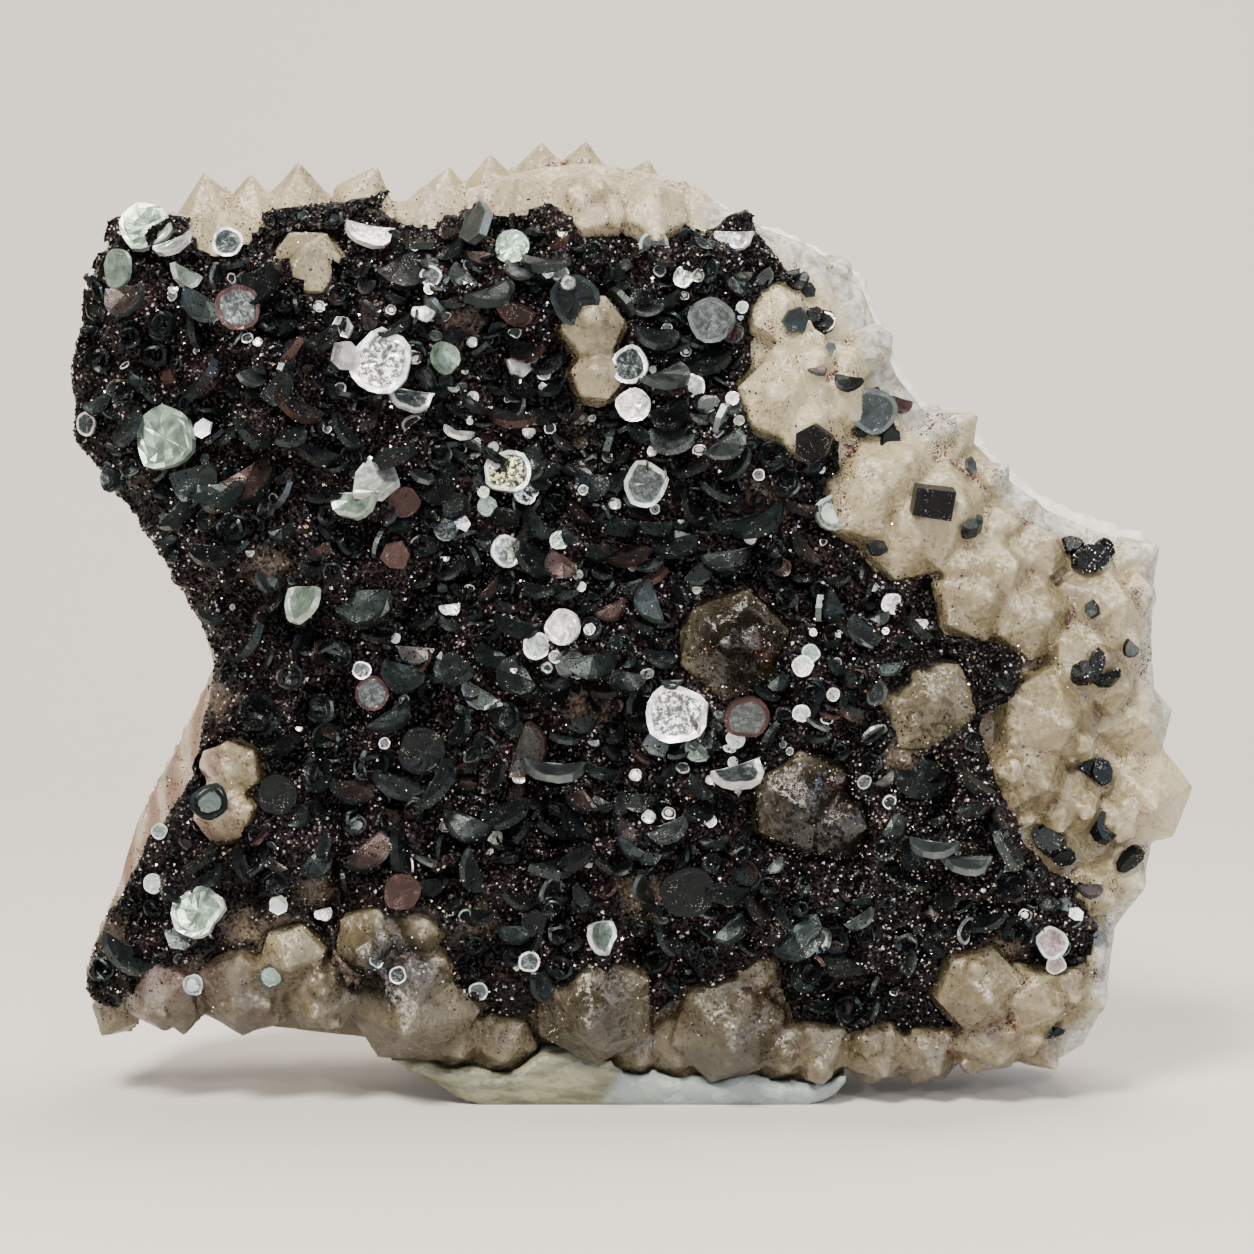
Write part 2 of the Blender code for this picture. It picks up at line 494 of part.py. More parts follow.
def cluster(name, blades, ground):
    """Blades grown together on the quartz, each sunk a little into the crystal under it."""
    made = None
    for x, z, width, height, thickness, turn, tilt, roll in blades:
        centre = surface_point(ground, x, z) - Vector((0, 0.25 * min(width, height), 0))
        bm = bmesh.new()
        blade(bm, centre, width, height, thickness, turn, tilt, roll)
        piece = object_of(name, bm)
        made = boolean(made, piece, "UNION") if made else piece
    return made


def cut(obj, cutter):
    """Cuts obj by a copy of the cutter and tidies it."""
    copy = cutter.copy()
    bpy.context.scene.collection.objects.link(copy)
    return tidy(boolean(obj, copy, "DIFFERENCE"))


def stand_and_centre(objects):
    """Scales to metres, and puts the origin under the middle of the whole object's box."""
    corners = [vert.co for obj in objects for vert in obj.data.vertices]
    low = Vector(min(co[axis] for co in corners) for axis in range(3))
    high = Vector(max(co[axis] for co in corners) for axis in range(3))
    shift = Vector((-(low.x + high.x) / 2, -(low.y + high.y) / 2, -low.z))
    for obj in objects:
        obj.data.transform(Matrix.Scale(MM, 4) @ Matrix.Translation(shift))


def main():
    clear_scene()
    druse = tidy(quartz("quartz_druse"))
    grown_druse = quartz("grown_druse", GAP)
    ground = BVHTree.FromObject(druse, bpy.context.evaluated_depsgraph_get())
    clusters = [cut(cluster(name, blades, ground), grown_druse) for name, blades in CLUSTERS.items()]
    rock = cut(matrix_rock(), grown_druse)
    crust = cut(hematite_crust(), grown_druse)
    discard(grown_druse)
    druse.data.materials.append(material("milky_quartz", QUARTZ_COLOUR, 0.25, 0.0))
    rock.data.materials.append(material("massive_quartz", MATRIX_COLOUR, 0.6, 0.0))
    crust.data.materials.append(material("hematite_crust", CRUST_COLOUR, 0.35, 0.6))
    plates = material("hematite_plates", PLATE_COLOUR, 0.25, 0.8)
    for obj in clusters:
        obj.data.materials.append(plates)
    stand_and_centre([druse, rock, crust, *clusters])


main()
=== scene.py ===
"""Looks of a hematite on quartz specimen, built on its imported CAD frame. Metres, +Z up.

Tables give places in millimetres as the viewer sees the front: x to the right, z up from the foot.
"""
import math
import random

import bmesh
import bpy
import numpy as np
from mathutils import Matrix, Vector, noise
from mathutils.bvhtree import BVHTree
from mathutils.kdtree import KDTree


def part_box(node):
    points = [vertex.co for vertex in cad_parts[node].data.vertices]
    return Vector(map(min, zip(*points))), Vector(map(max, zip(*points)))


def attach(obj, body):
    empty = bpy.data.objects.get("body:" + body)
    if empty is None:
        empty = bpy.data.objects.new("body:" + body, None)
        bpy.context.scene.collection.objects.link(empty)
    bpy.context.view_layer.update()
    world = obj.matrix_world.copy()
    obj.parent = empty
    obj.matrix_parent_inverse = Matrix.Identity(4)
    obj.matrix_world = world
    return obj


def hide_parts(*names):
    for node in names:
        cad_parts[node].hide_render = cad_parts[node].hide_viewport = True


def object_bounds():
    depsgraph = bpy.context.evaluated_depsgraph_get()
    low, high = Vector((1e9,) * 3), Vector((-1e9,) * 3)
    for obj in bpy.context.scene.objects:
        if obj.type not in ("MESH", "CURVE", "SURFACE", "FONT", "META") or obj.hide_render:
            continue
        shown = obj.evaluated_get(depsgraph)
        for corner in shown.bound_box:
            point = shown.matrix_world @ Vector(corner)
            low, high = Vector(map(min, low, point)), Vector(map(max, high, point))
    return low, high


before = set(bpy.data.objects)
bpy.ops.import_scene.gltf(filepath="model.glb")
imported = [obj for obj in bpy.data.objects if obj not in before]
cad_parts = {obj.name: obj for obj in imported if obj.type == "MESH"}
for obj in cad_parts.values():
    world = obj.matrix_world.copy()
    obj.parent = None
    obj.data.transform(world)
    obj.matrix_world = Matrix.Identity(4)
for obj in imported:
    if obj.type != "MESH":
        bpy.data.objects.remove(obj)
cad_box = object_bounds()

# Studio. A seamless pale sweep runs under the specimen and up behind it, lit by one soft light high at
# the front left, a weak fill at the right, and small hard lights that make the metallic faces glint.
MM = 0.001
FLOOR_WIDTH = 1.6
FLOOR_FRONT = -0.7
WALL_AT = 0.45
WALL_HEIGHT = 0.9
SWEEP_RADIUS = 0.25
SWEEP_STEPS = 16
LOOK_AT = Vector((-0.0007, -0.004, 0.0384))
CAMERA_RISE = math.radians(4)
CAMERA_LENS = 100.0
CAMERA_SENSOR = 36.0
VIEW_WIDTH = 0.1012    # width of the picture at the specimen
ROOM_LIGHT = 0.22      # strength of the even light from all round
# Name, place, size, power and colour of each lamp. All are turned to the specimen.
LAMPS = [
    ("key", (-0.16, -0.40, 0.50), 0.16, 8.5, "#FFF6EA"),
    ("fill", (0.45, -0.35, 0.22), 0.30, 2.0, "#E8EEFF"),
    ("top", (0.10, 0.08, 0.55), 0.30, 4.0, "#FFF4E6"),
    ("glint_left", (-0.16, -0.55, 0.20), 0.025, 0.9, "#FFFFFF"),
    ("glint_right", (0.14, -0.50, 0.30), 0.025, 0.9, "#FFF2DC"),
    ("glint_low", (0.05, -0.58, 0.06), 0.02, 0.5, "#E4DCFF"),
]


def linear(code):
    """A linear RGBA colour from an sRGB hex code."""
    values = [int(code[i : i + 2], 16) / 255 for i in (1, 3, 5)]
    return (*((v / 12.92 if v <= 0.04045 else ((v + 0.055) / 1.055) ** 2.4) for v in values), 1.0)


def add(tree, kind, links=(), **settings):
    """A node of that kind. Settings are properties, or input values keyed by an input's name."""
    node = tree.nodes.new("ShaderNode" + kind)
    for key, value in settings.items():
        if hasattr(node, key):
            setattr(node, key, value)
        else:
            node.inputs[key.replace("_", " ")].default_value = value
    for source, target in links:
        tree.links.new(source, node.inputs[target])
    return node


def ranged(tree, value, low, high, bottom, top):
    """The value carried from the range low to high onto bottom to top, and held there."""
    node = add(tree, "MapRange", [(value, "Value")], From_Min=low, From_Max=high, To_Min=bottom, To_Max=top)
    return node.outputs["Result"]


def toned(tree, value, *stops):
    """A colour ramp over (position, sRGB code) stops."""
    node = add(tree, "ValToRGB", [(value, 0)])
    elements = node.color_ramp.elements
    while len(elements) < len(stops):
        elements.new(0.5)
    for element, (position, code) in zip(elements, stops):
        element.position = position
        element.color = linear(code)
    return node.outputs["Color"]


def fill(tree, node, values):
    """Links each value that is a socket to the numbered input, and sets the others."""
    for index, value in values:
        if isinstance(value, bpy.types.NodeSocket):
            tree.links.new(value, node.inputs[index])
        else:
            node.inputs[index].default_value = value
    return node


def mixed(tree, factor, first, second):
    """A colour between two."""
    node = add(tree, "Mix", data_type="RGBA")
    return fill(tree, node, ((0, factor), (6, first), (7, second))).outputs[2]


def reckoned(tree, operation, first, second):
    """The result of a Math node."""
    node = add(tree, "Math", operation=operation)
    return fill(tree, node, ((0, first), (1, second))).outputs[0]


def new_material(name):
    """An empty node material: its tree, its shader and its object coordinates."""
    made = bpy.data.materials.new(name)
    made.use_nodes = True
    tree = made.node_tree
    shader = tree.nodes["Principled BSDF"]
    coordinates = add(tree, "TexCoord").outputs["Object"]
    return made, tree, shader, coordinates


def wire(tree, shader, **inputs):
    """Links or sets inputs of the shader, keyed by name."""
    for key, value in inputs.items():
        name = key.replace("_", " ")
        if isinstance(value, bpy.types.NodeSocket):
            tree.links.new(value, shader.inputs[name])
        else:
            shader.inputs[name].default_value = value


def object_of(name, mesh, material):
    """An object in the scene that shows the mesh in that material."""
    made = bpy.data.objects.new(name, mesh)
    bpy.context.scene.collection.objects.link(made)
    if material:
        mesh.materials.append(material)
    return made


sweep_profile = [(FLOOR_FRONT, 0.0)]
for step in range(SWEEP_STEPS + 1):
    angle = math.pi / 2 * step / SWEEP_STEPS
    sweep_profile.append(
        (WALL_AT - SWEEP_RADIUS + SWEEP_RADIUS * math.sin(angle), SWEEP_RADIUS * (1 - math.cos(angle)))
    )
sweep_profile.append((WALL_AT, WALL_HEIGHT))
sweep_bm = bmesh.new()
sweep_line = [sweep_bm.verts.new((-FLOOR_WIDTH / 2, y, z)) for y, z in sweep_profile]
sweep_edges = [sweep_bm.edges.new(pair) for pair in zip(sweep_line, sweep_line[1:])]
sweep_far = bmesh.ops.extrude_edge_only(sweep_bm, edges=sweep_edges)
bmesh.ops.translate(
    sweep_bm,
    verts=[item for item in sweep_far["geom"] if isinstance(item, bmesh.types.BMVert)],
    vec=(FLOOR_WIDTH, 0, 0),
)
sweep_mesh = bpy.data.meshes.new("sweep")
sweep_bm.to_mesh(sweep_mesh)
sweep_bm.free()
sweep_mesh.shade_smooth()
# Matt seamless paper, which shows no edge and no shine behind the specimen.
paper, tree, shader, coordinates = new_material("studio_paper")
wire(tree, shader, Base_Color=linear("#CFCBC6"), Roughness=0.9)
sweep = object_of("sweep", sweep_mesh, paper)

world = bpy.data.worlds.new("studio")
world.use_nodes = True
world.node_tree.nodes["Background"].inputs["Color"].default_value = linear("#B9BCC2")
world.node_tree.nodes["Background"].inputs["Strength"].default_value = ROOM_LIGHT
bpy.context.scene.world = world
for name, place, size, power, tone in LAMPS:
    light = bpy.data.lights.new(name, "AREA")
    light.size = size
    light.energy = power
    light.color = linear(tone)[:3]
    lamp = bpy.data.objects.new(name, light)
    lamp.location = place
    lamp.rotation_euler = (LOOK_AT - Vector(place)).to_track_quat("-Z", "Y").to_euler()
    bpy.context.scene.collection.objects.link(lamp)

camera_data = bpy.data.cameras.new("camera")
camera_data.lens = CAMERA_LENS
camera_data.sensor_width = CAMERA_SENSOR
camera_distance = VIEW_WIDTH * CAMERA_LENS / CAMERA_SENSOR
camera = bpy.data.objects.new("camera", camera_data)
camera.location = LOOK_AT + camera_distance * Vector((0, -math.cos(CAMERA_RISE), math.sin(CAMERA_RISE)))
camera.rotation_euler = (math.pi / 2 - CAMERA_RISE, 0, 0)
camera_data.clip_start = 0.01
bpy.context.scene.collection.objects.link(camera)
bpy.context.scene.camera = camera

# The matrix: pale massive quartz that the crystals grew on, broken behind and cut flat under the foot.
# Stone, bluish white where it shows past the crystals, greenish beige and fibrous at the foot's left,
# banded pink and brown at the lower left edge, matt and rough where it was broken.
MATRIX_VOXEL = 0.7 * MM
MATRIX_ROUGHNESS = 1.5 * MM
OVERLAP = 0.5 * MM         # how far stone and quartz reach into each other, since they grew together
FOOT_LEFT = -12.5 * MM     # the tables' x where the foot's flat face starts, and its z
FOOT_BOTTOM = 0.6 * MM
FLAT_CUT = 0.5 * MM        # lowest part of the foot, whose underside stays flat
COVERED_FROM = 8 * MM      # height from which quartz covers the stone's front
STEPS_APART = 7 * MM
CHIPS_APART = 2.4 * MM
PITS_APART = 1.1 * MM
FRONT_DEPTH = 7 * MM       # how far back the bands and the beige foot reach
GREY_FOOT = (3 * MM, 7 * MM)    # heights between which the foot's greyish cyan fades
# Patterns as repeats per metre: clouds 11 mm apart, rust 18, seams 9, bands 8, fibres 0.7 and grain 1.1.
STONE_CLOUDS = 90.0
STONE_RUST = 55.0
STONE_SEAMS = 110.0
STONE_BANDS = 130.0
STONE_FIBRES = 1400.0
STONE_GRAIN = 900.0

foot = [vert.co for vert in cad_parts["matrix"].data.vertices if vert.co.z < 1e-5]
across = min(place.x for place in foot) - FOOT_LEFT


def at(x, z):
    """The frame's X and Z of a place in the tables."""
    return x * MM + across, z * MM - FOOT_BOTTOM


def listed(place):
    """The tables' x and z of a place in the frame."""
    return (place[0] - across) / MM, (place[2] + FOOT_BOTTOM) / MM


def smooth(t):
    """0 up to t = 0, 1 from t = 1, and an even slope between."""
    t = min(max(t, 0.0), 1.0)
    return t * t * (3 - 2 * t)


def to_line(x, z, line):
    """How far x, z is from a line through points."""
    place = Vector((x, z))
    nearest = math.inf
    for a, b in zip(line, line[1:]):
        a, side = Vector(a), Vector(b) - Vector(a)
        share = min(max((place - a).dot(side) / side.length_squared, 0.0), 1.0)
        nearest = min(nearest, (a + side * share - place).length)
    return nearest


def cad_copy(node):
    """A copy of a CAD node's mesh with its corners merged."""
    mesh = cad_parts[node].data.copy()
    bm = bmesh.new()
    bm.from_mesh(mesh)
    bmesh.ops.remove_doubles(bm, verts=bm.verts, dist=1e-6)
    bm.to_mesh(mesh)
    bm.free()
    mesh.materials.clear()
    return mesh


def remeshed(mesh, voxel, triangles=None):
    """The mesh rebuilt from voxels, thinned to about that many triangles where a number is given."""
    carrier = object_of("carrier", mesh, None)
    remesh = carrier.modifiers.new("remesh", "REMESH")
    remesh.mode = "VOXEL"
    remesh.voxel_size = voxel
    graph = bpy.context.evaluated_depsgraph_get()
    result = bpy.data.meshes.new_from_object(carrier.evaluated_get(graph))
    if triangles:
        carrier.modifiers.clear()
        carrier.data = result
        thin = carrier.modifiers.new("thin", "DECIMATE")
        thin.ratio = min(1.0, triangles / (2 * len(result.polygons)))
        graph = bpy.context.evaluated_depsgraph_get()
        result = bpy.data.meshes.new_from_object(carrier.evaluated_get(graph))
    bpy.data.objects.remove(carrier)
    return result


def displaced(mesh, offset):
    """Moves each vertex along its normal by offset(place, normal)."""
    places = [vert.co.copy() for vert in mesh.vertices]
    normals = [vert.normal.copy() for vert in mesh.vertices]
    for vert, place, normal in zip(mesh.vertices, places, normals):
        vert.co = place + normal * offset(place, normal)
    mesh.update()
    mesh.shade_smooth()
    return mesh


def painted(mesh, name, values):
    """Keeps one number per vertex as an attribute."""
    mesh.attributes.new(name, "FLOAT", "POINT").data.foreach_set("value", np.asarray(values, np.float32))


def by_place(mesh, weight):
    """weight(x, z) in the tables' millimetres, at every vertex."""
    return [weight(*listed(vert.co)) for vert in mesh.vertices]


def banded_edge(x, z):
    """1 along the lower left edge of the plate, where the stone is banded."""
    return smooth((-30 - x) / 4) * smooth((z - 8) / 3) * smooth((44 - z) / 3)


def frontal(place):
    """1 near the front and 0 behind, with a ragged limit between."""
    return smooth((FRONT_DEPTH - place.y) / (5 * MM) + 0.8 * noise.noise(place / (5 * MM)))


def beige_foot(place):
    """1 on the fibrous left part of the foot's front."""
    x, z = listed(place)
    ragged = 1.2 * noise.noise(place / (2 * MM))
    return smooth(-x / 1.5 + ragged) * smooth((6 - z) / 2 + ragged) * frontal(place)


def banding(tree, coordinates):
    """Pink, brown and pale bands that follow the lower left edge."""
    turned = add(tree, "Mapping", [(coordinates, "Vector")])
    turned.inputs["Rotation"].default_value = (0, math.radians(22), math.radians(40))
    placed = [(turned.outputs[0], "Vector")]
    bands = add(tree, "TexWave", placed, Scale=STONE_BANDS, Distortion=4.5, Detail=5.0)
    return toned(tree, bands.outputs["Fac"], (0.1, "#967E6E"), (0.5, "#AE9886"), (0.9, "#C9BAA8"))


def ridges(mesh):
    """How far each vertex stands out from its neighbours in millimetres, below zero in a crease."""
    count = len(mesh.vertices)
    places = np.empty(3 * count)
    normals = np.empty(3 * count)
    ends = np.empty(2 * len(mesh.edges), int)
    mesh.vertices.foreach_get("co", places)
    mesh.vertex_normals.foreach_get("vector", normals)
    mesh.edges.foreach_get("vertices", ends)
    ends = ends.reshape(-1, 2)
    degree = np.bincount(ends.ravel(), minlength=count)

    def neighbours(values):
        sums = np.zeros_like(values)
        np.add.at(sums, ends[:, 0], values[ends[:, 1]])
        np.add.at(sums, ends[:, 1], values[ends[:, 0]])
        return (sums.T / degree).T

    places = places.reshape(-1, 3)
    stand = ((places - neighbours(places)) * normals.reshape(-1, 3)).sum(1) / MM
    return (stand + 2 * neighbours(stand)) / 3


def sparkling(tree, coordinates, strength, scale, surface=None):
    """A normal that jumps from one crystal face to the next, on top of the surface's own."""
    cells = add(tree, "TexVoronoi", [(coordinates, "Vector")], Scale=scale)
    centred = add(tree, "VectorMath", [(cells.outputs["Color"], 0)], operation="SUBTRACT")
    centred.inputs[1].default_value = (0.5, 0.5, 0.5)
    scaled = add(tree, "VectorMath", [(centred.outputs[0], 0)], operation="SCALE", Scale=strength)
    surface = surface or add(tree, "NewGeometry").outputs["Normal"]
    leaned = add(tree, "VectorMath", [(surface, 0), (scaled.outputs[0], 1)], operation="ADD")
    return add(tree, "VectorMath", [(leaned.outputs[0], 0)], operation="NORMALIZE").outputs[0]


def rough_stone(place, normal):
    """Inwards, nothing on the cut face that it stands on, and forward into the quartz that covers it."""
    if normal.z < -0.8 and place.z < FLAT_CUT:
        return 0.0
    if normal.y < -0.6 and place.z > COVERED_FROM:
        return OVERLAP
    steps = noise.voronoi(place / STEPS_APART)[0]
    chips = noise.voronoi(place / CHIPS_APART)[0]
    fine = abs(noise.noise(place / PITS_APART + Vector((5, 0, 0))))
    cut = 0.2 if place.z < 5 * MM else 1.0
    behind = 0.15 + 0.85 * smooth(place.y / (6 * MM))
    return -MATRIX_ROUGHNESS * cut * behind * (1.1 * steps[0] + 0.5 * chips[0] + 0.25 * fine)


# Massive quartz, broken: milky and uneven, dull with small glints on the breaks.
stone, tree, shader, coordinates = new_material("massive_quartz")
clouds = add(tree, "TexNoise", [(coordinates, "Vector")], Scale=STONE_CLOUDS, Detail=6.0, Roughness=0.6)
white = toned(tree, clouds.outputs["Fac"], (0.32, "#999C92"), (0.5, "#BCC0B6"), (0.7, "#D8DFD9"))
rust = add(tree, "TexNoise", [(coordinates, "Vector")], Scale=STONE_RUST, Detail=8.0, Roughness=0.65)
rusty = ranged(tree, rust.outputs["Fac"], 0.52, 0.66, 0.0, 0.6)
white = mixed(tree, rusty, white, linear("#A08C6C"))
seams = add(tree, "TexVoronoi", [(coordinates, "Vector")], feature="DISTANCE_TO_EDGE", Scale=STONE_SEAMS)
cracked = ranged(tree, seams.outputs["Distance"], 0.0, 0.03, 0.35, 0.0)
white = mixed(tree, cracked, white, linear("#6F685A"))
stand = add(tree, "Attribute", attribute_name="ridge").outputs["Fac"]
# Painted shade darkens the creases and a painted highlight lightens the ridges, by how far each vertex
# stands out.
white = mixed(tree, ranged(tree, stand, -0.06, 0.0, 0.6, 0.0), white, linear("#77705F"))
white = mixed(tree, ranged(tree, stand, 0.0, 0.05, 0.0, 0.5), white, linear("#E8ECE6"))
drawn = add(tree, "Mapping", [(coordinates, "Vector")])
drawn.inputs["Scale"].default_value = (0.25, 1.0, 1.0)
fibres = add(tree, "TexNoise", [(drawn.outputs[0], "Vector")], Scale=STONE_FIBRES, Detail=4.0)
beige = toned(tree, fibres.outputs["Fac"], (0.35, "#505240"), (0.62, "#787860"))
foot_left = add(tree, "Attribute", attribute_name="foot_left").outputs["Fac"]
edge_band = add(tree, "Attribute", attribute_name="edge_band").outputs["Fac"]
height = add(tree, "SeparateXYZ", [(coordinates, "Vector")]).outputs["Z"]
white = mixed(tree, ranged(tree, height, *GREY_FOOT, 0.9, 0.0), white, linear("#727E7B"))
hues = mixed(tree, foot_left, white, beige)
hues = mixed(tree, edge_band, hues, banding(tree, coordinates))
grain = add(tree, "TexNoise", [(coordinates, "Vector")], Scale=STONE_GRAIN, Detail=4.0)
relief = add(tree, "Bump", [(grain.outputs["Fac"], "Height")], Strength=0.6, Distance=0.0005)
tree.links.new(sparkling(tree, coordinates, 0.35, STONE_GRAIN), relief.inputs["Normal"])
wire(tree, shader, Base_Color=hues, Normal=relief.outputs["Normal"], Roughness=0.42)

matrix_mesh = displaced(remeshed(cad_copy("matrix"), MATRIX_VOXEL), rough_stone)
painted(matrix_mesh, "foot_left", [beige_foot(vert.co) for vert in matrix_mesh.vertices])
bands = [banded_edge(*listed(vert.co)) * frontal(vert.co) for vert in matrix_mesh.vertices]
painted(matrix_mesh, "edge_band", bands)
painted(matrix_mesh, "ridge", ridges(matrix_mesh))
matrix = object_of("matrix_stone", matrix_mesh, stone)
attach(matrix, "root")
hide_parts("matrix")

# The druse: quartz crystals grown side by side and into each other, yellowish beige and half clear, with
# flat faces and softened edges, finely specked with hematite. It grew on the matrix. The crystals that
# stand out of the dark crust are smoky.
QUARTZ_VOXEL = 0.26 * MM
QUARTZ_TRIANGLES = 156000
SMALL_CRYSTALS = 64
SMALL_RADIUS = (0.6, 1.5)
QUARTZ_CREASE = math.radians(24)    # faces that meet at more than this show a crisp edge
ETCHING = 0.05 * MM
PALER_HIGH = (40 * MM, 56 * MM)    # heights between which the quartz turns paler
PALER_OUT = (36 * MM, 43 * MM)     # the same to the right
WAVES_APART = 2.2 * MM
PITTED_APART = 1.2 * MM    # of the broken surface on the darkest crystals
# Patterns as repeats per metre: faces and healed cracks 3 mm apart, clouds 7, veils 2, mottling 0.6,
# etching 0.5 and glints 0.3. The real glints are finer, and these are as coarse as shows in the picture.
QUARTZ_FACES = 310.0
QUARTZ_CLOUDS = 150.0
QUARTZ_VEILS = 520.0
QUARTZ_MOTTLE = 1700.0
QUARTZ_ETCHING = 2200.0
QUARTZ_GLINTS = 3600.0
SPECKLED = 260.0           # patches that specks crowd in
# Specks up to 0.3 mm across: repeats per metre, the level of the patches where they start, and colour.
SPECKS = ((6200.0, 0.40, "#5A4433"), (3300.0, 0.50, "#2B1D19"), (4400.0, 0.55, "#6E3426"))
# x, z, radius and strength of the smoky patches.
SMOKY = [
    (8.7, 38.3, 6.5, 1.0), (14.0, 25.4, 5.5, 1.0), (17.2, 23.4, 4.0, 0.7), (24.0, 33.9, 5.0, 0.7),
    (-2.5, 61.5, 4.5, 0.55), (-20.7, 13.7, 4.5, 0.45), (-16.4, 14.9, 4.5, 0.4), (-3.2, 8.9, 5.5, 0.35),
    (8.3, 7.2, 5.5, 0.3), (-31.6, 8.0, 5.0, 0.25), (-17.8, 8.6, 5.0, 0.15), (-25.2, 69.2, 3.5, 0.55),
]
# The outer edge at the right, x and z, where the crystals thin out over bluish-white stone.
PALE_RIM = [
    [(8, 72), (13.5, 70), (18, 67), (20, 62.5), (21.5, 59), (24.5, 55.8)],
    [(31, 51.3), (33.5, 49), (38.5, 47), (43, 46), (43, 38), (43.6, 32)],
    [(43, 20), (41.8, 16.5), (39.5, 14), (39, 8), (36.5, 4)],
]


def ground_of(mesh):
    """A tree that rays can be cast against."""
    places = [vert.co for vert in mesh.vertices]
    return BVHTree.FromPolygons(places, [face.vertices for face in mesh.polygons])


def seen(ground, x, z):
    """The place and normal where a viewer in front sees the ground at the frame's x, z, or None."""
    place, normal, _, _ = ground.ray_cast(Vector((x, -1, z)), Vector((0, 1, 0)))
    return (place, normal) if place else None


crust_ground = ground_of(cad_copy("hematite_crust"))
druse_mesh = cad_copy("quartz_druse")
druse_ground = ground_of(druse_mesh)
druse_low, druse_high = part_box("quartz_druse")
rng = random.Random(5)
druse_bm = bmesh.new()
druse_bm.from_mesh(druse_mesh)
left = SMALL_CRYSTALS
while left:
    x, z = rng.uniform(druse_low[0], druse_high[0]), rng.uniform(druse_low[2], druse_high[2])
    under = seen(druse_ground, x, z)
    over = seen(crust_ground, x, z)
    if not under or (over and over[0].y < under[0].y):
        continue
    left -= 1
    place, normal = under
    radius = rng.uniform(*SMALL_RADIUS) * MM
    lean = Vector((rng.uniform(-0.5, 0.5), rng.uniform(-0.5, 0.2), rng.uniform(-0.5, 0.5)))
    axis = (normal + lean).normalized()
    turned = axis.to_track_quat("Z", "Y").to_matrix().to_4x4() @ Matrix.Rotation(rng.uniform(0, 2), 4, "Z")
    for top_radius, depth, centre in ((radius, 2 * radius, -1.1), (0.0, 0.9 * radius, 0.35)):
        bmesh.ops.create_cone(
            druse_bm, cap_ends=True, segments=6, radius1=radius, radius2=top_radius, depth=depth,
            matrix=Matrix.Translation(place + axis * centre * radius) @ turned,
        )
druse_bm.to_mesh(druse_mesh)
druse_bm.free()


def smoky(x, z):
    """How smoky the quartz is, from 0 to 1: in the patches, and a little along the lower edge."""
    patches = sum(a * math.exp(-(((x - sx) ** 2 + (z - sz) ** 2) / r**2) ** 2) for sx, sz, r, a in SMOKY)
    return min(1.0, patches + 0.5 * smooth((17 - z) / 7) * smooth((33 - x) / 8))


def etched(place, normal):
    """Faint waves on the faces, and a rougher, broken surface on the darkest crystals."""
    if normal.y > 0.6:
        return OVERLAP
    rough = max(0.0, smoky(*listed(place)) - 0.6)
    waves = noise.noise(place / WAVES_APART) - 0.5
    return ETCHING * (waves + 14 * rough * noise.noise(place / PITTED_APART + Vector((3, 0, 0))))


def pale_rim(x, z):
    """1 along the outer edge at the right, where the quartz is bluish white."""
    return max(smooth((2.7 - to_line(x, z, line)) / 1.6) for line in PALE_RIM)


def blush(x, z):
    """How pink the quartz is: fully so at the banded edge, and a little along the top."""
    return max(banded_edge(x, z), 0.25 * smooth((z - 68) / 4) * smooth((12 - x) / 10))


# Milky quartz, grown: glassy faces, half clear, cloudy with veils inside and specked with red and black.
quartz, tree, shader, coordinates = new_material("milky_quartz")
ridge = add(tree, "Attribute", attribute_name="ridge").outputs["Fac"]
smoke = add(tree, "Attribute", attribute_name="smoke").outputs["Fac"]
pink = add(tree, "Attribute", attribute_name="blush").outputs["Fac"]
rim_white = add(tree, "Attribute", attribute_name="rim_white").outputs["Fac"]
clouds = add(tree, "TexNoise", [(coordinates, "Vector")], Scale=QUARTZ_CLOUDS, Detail=6.0, Roughness=0.62)
honey = toned(tree, clouds.outputs["Fac"], (0.3, "#6F6448"), (0.5, "#867A59"), (0.7, "#A39672"))
veils = add(tree, "TexNoise", [(coordinates, "Vector")], Scale=QUARTZ_VEILS, Detail=5.0, Distortion=2.5)
honey = mixed(tree, ranged(tree, veils.outputs["Fac"], 0.55, 0.72, 0.0, 0.4), honey, linear("#C4BA98"))
# A painted highlight lightens the ridges and painted shade darkens the creases, by how far each vertex
# stands out.
honey = mixed(tree, ranged(tree, ridge, 0.004, 0.03, 0.0, 0.5), honey, linear("#DED5B5"))
honey = mixed(tree, ranged(tree, ridge, -0.03, -0.004, 0.5, 0.0), honey, linear("#6E5F3E"))
mottle = add(tree, "TexNoise", [(coordinates, "Vector")], Scale=QUARTZ_MOTTLE, Detail=5.0, Roughness=0.7)
honey = mixed(tree, ranged(tree, mottle.outputs["Fac"], 0.38, 0.5, 0.3, 0.0), honey, linear("#6A5C43"))
honey = mixed(tree, ranged(tree, mottle.outputs["Fac"], 0.58, 0.7, 0.0, 0.3), honey, linear("#DCD2B1"))
domains = add(tree, "TexVoronoi", [(coordinates, "Vector")], Scale=QUARTZ_FACES)
domain = add(tree, "SeparateColor", [(domains.outputs["Color"], 0)]).outputs[0]
honey = mixed(tree, ranged(tree, domain, 0.0, 1.0, 0.0, 0.4), honey, linear("#6B6048"))
healed = add(tree, "TexVoronoi", [(coordinates, "Vector")], feature="DISTANCE_TO_EDGE", Scale=QUARTZ_FACES)
cracks = ranged(tree, healed.outputs["Distance"], 0.0, 0.02, 0.5, 0.0)
patchy = reckoned(tree, "MULTIPLY", cracks, ranged(tree, clouds.outputs["Fac"], 0.5, 0.62, 0.0, 1.0))
honey = mixed(tree, patchy, honey, linear("#D8CDA9"))
sides = add(tree, "SeparateXYZ", [(coordinates, "Vector")]).outputs
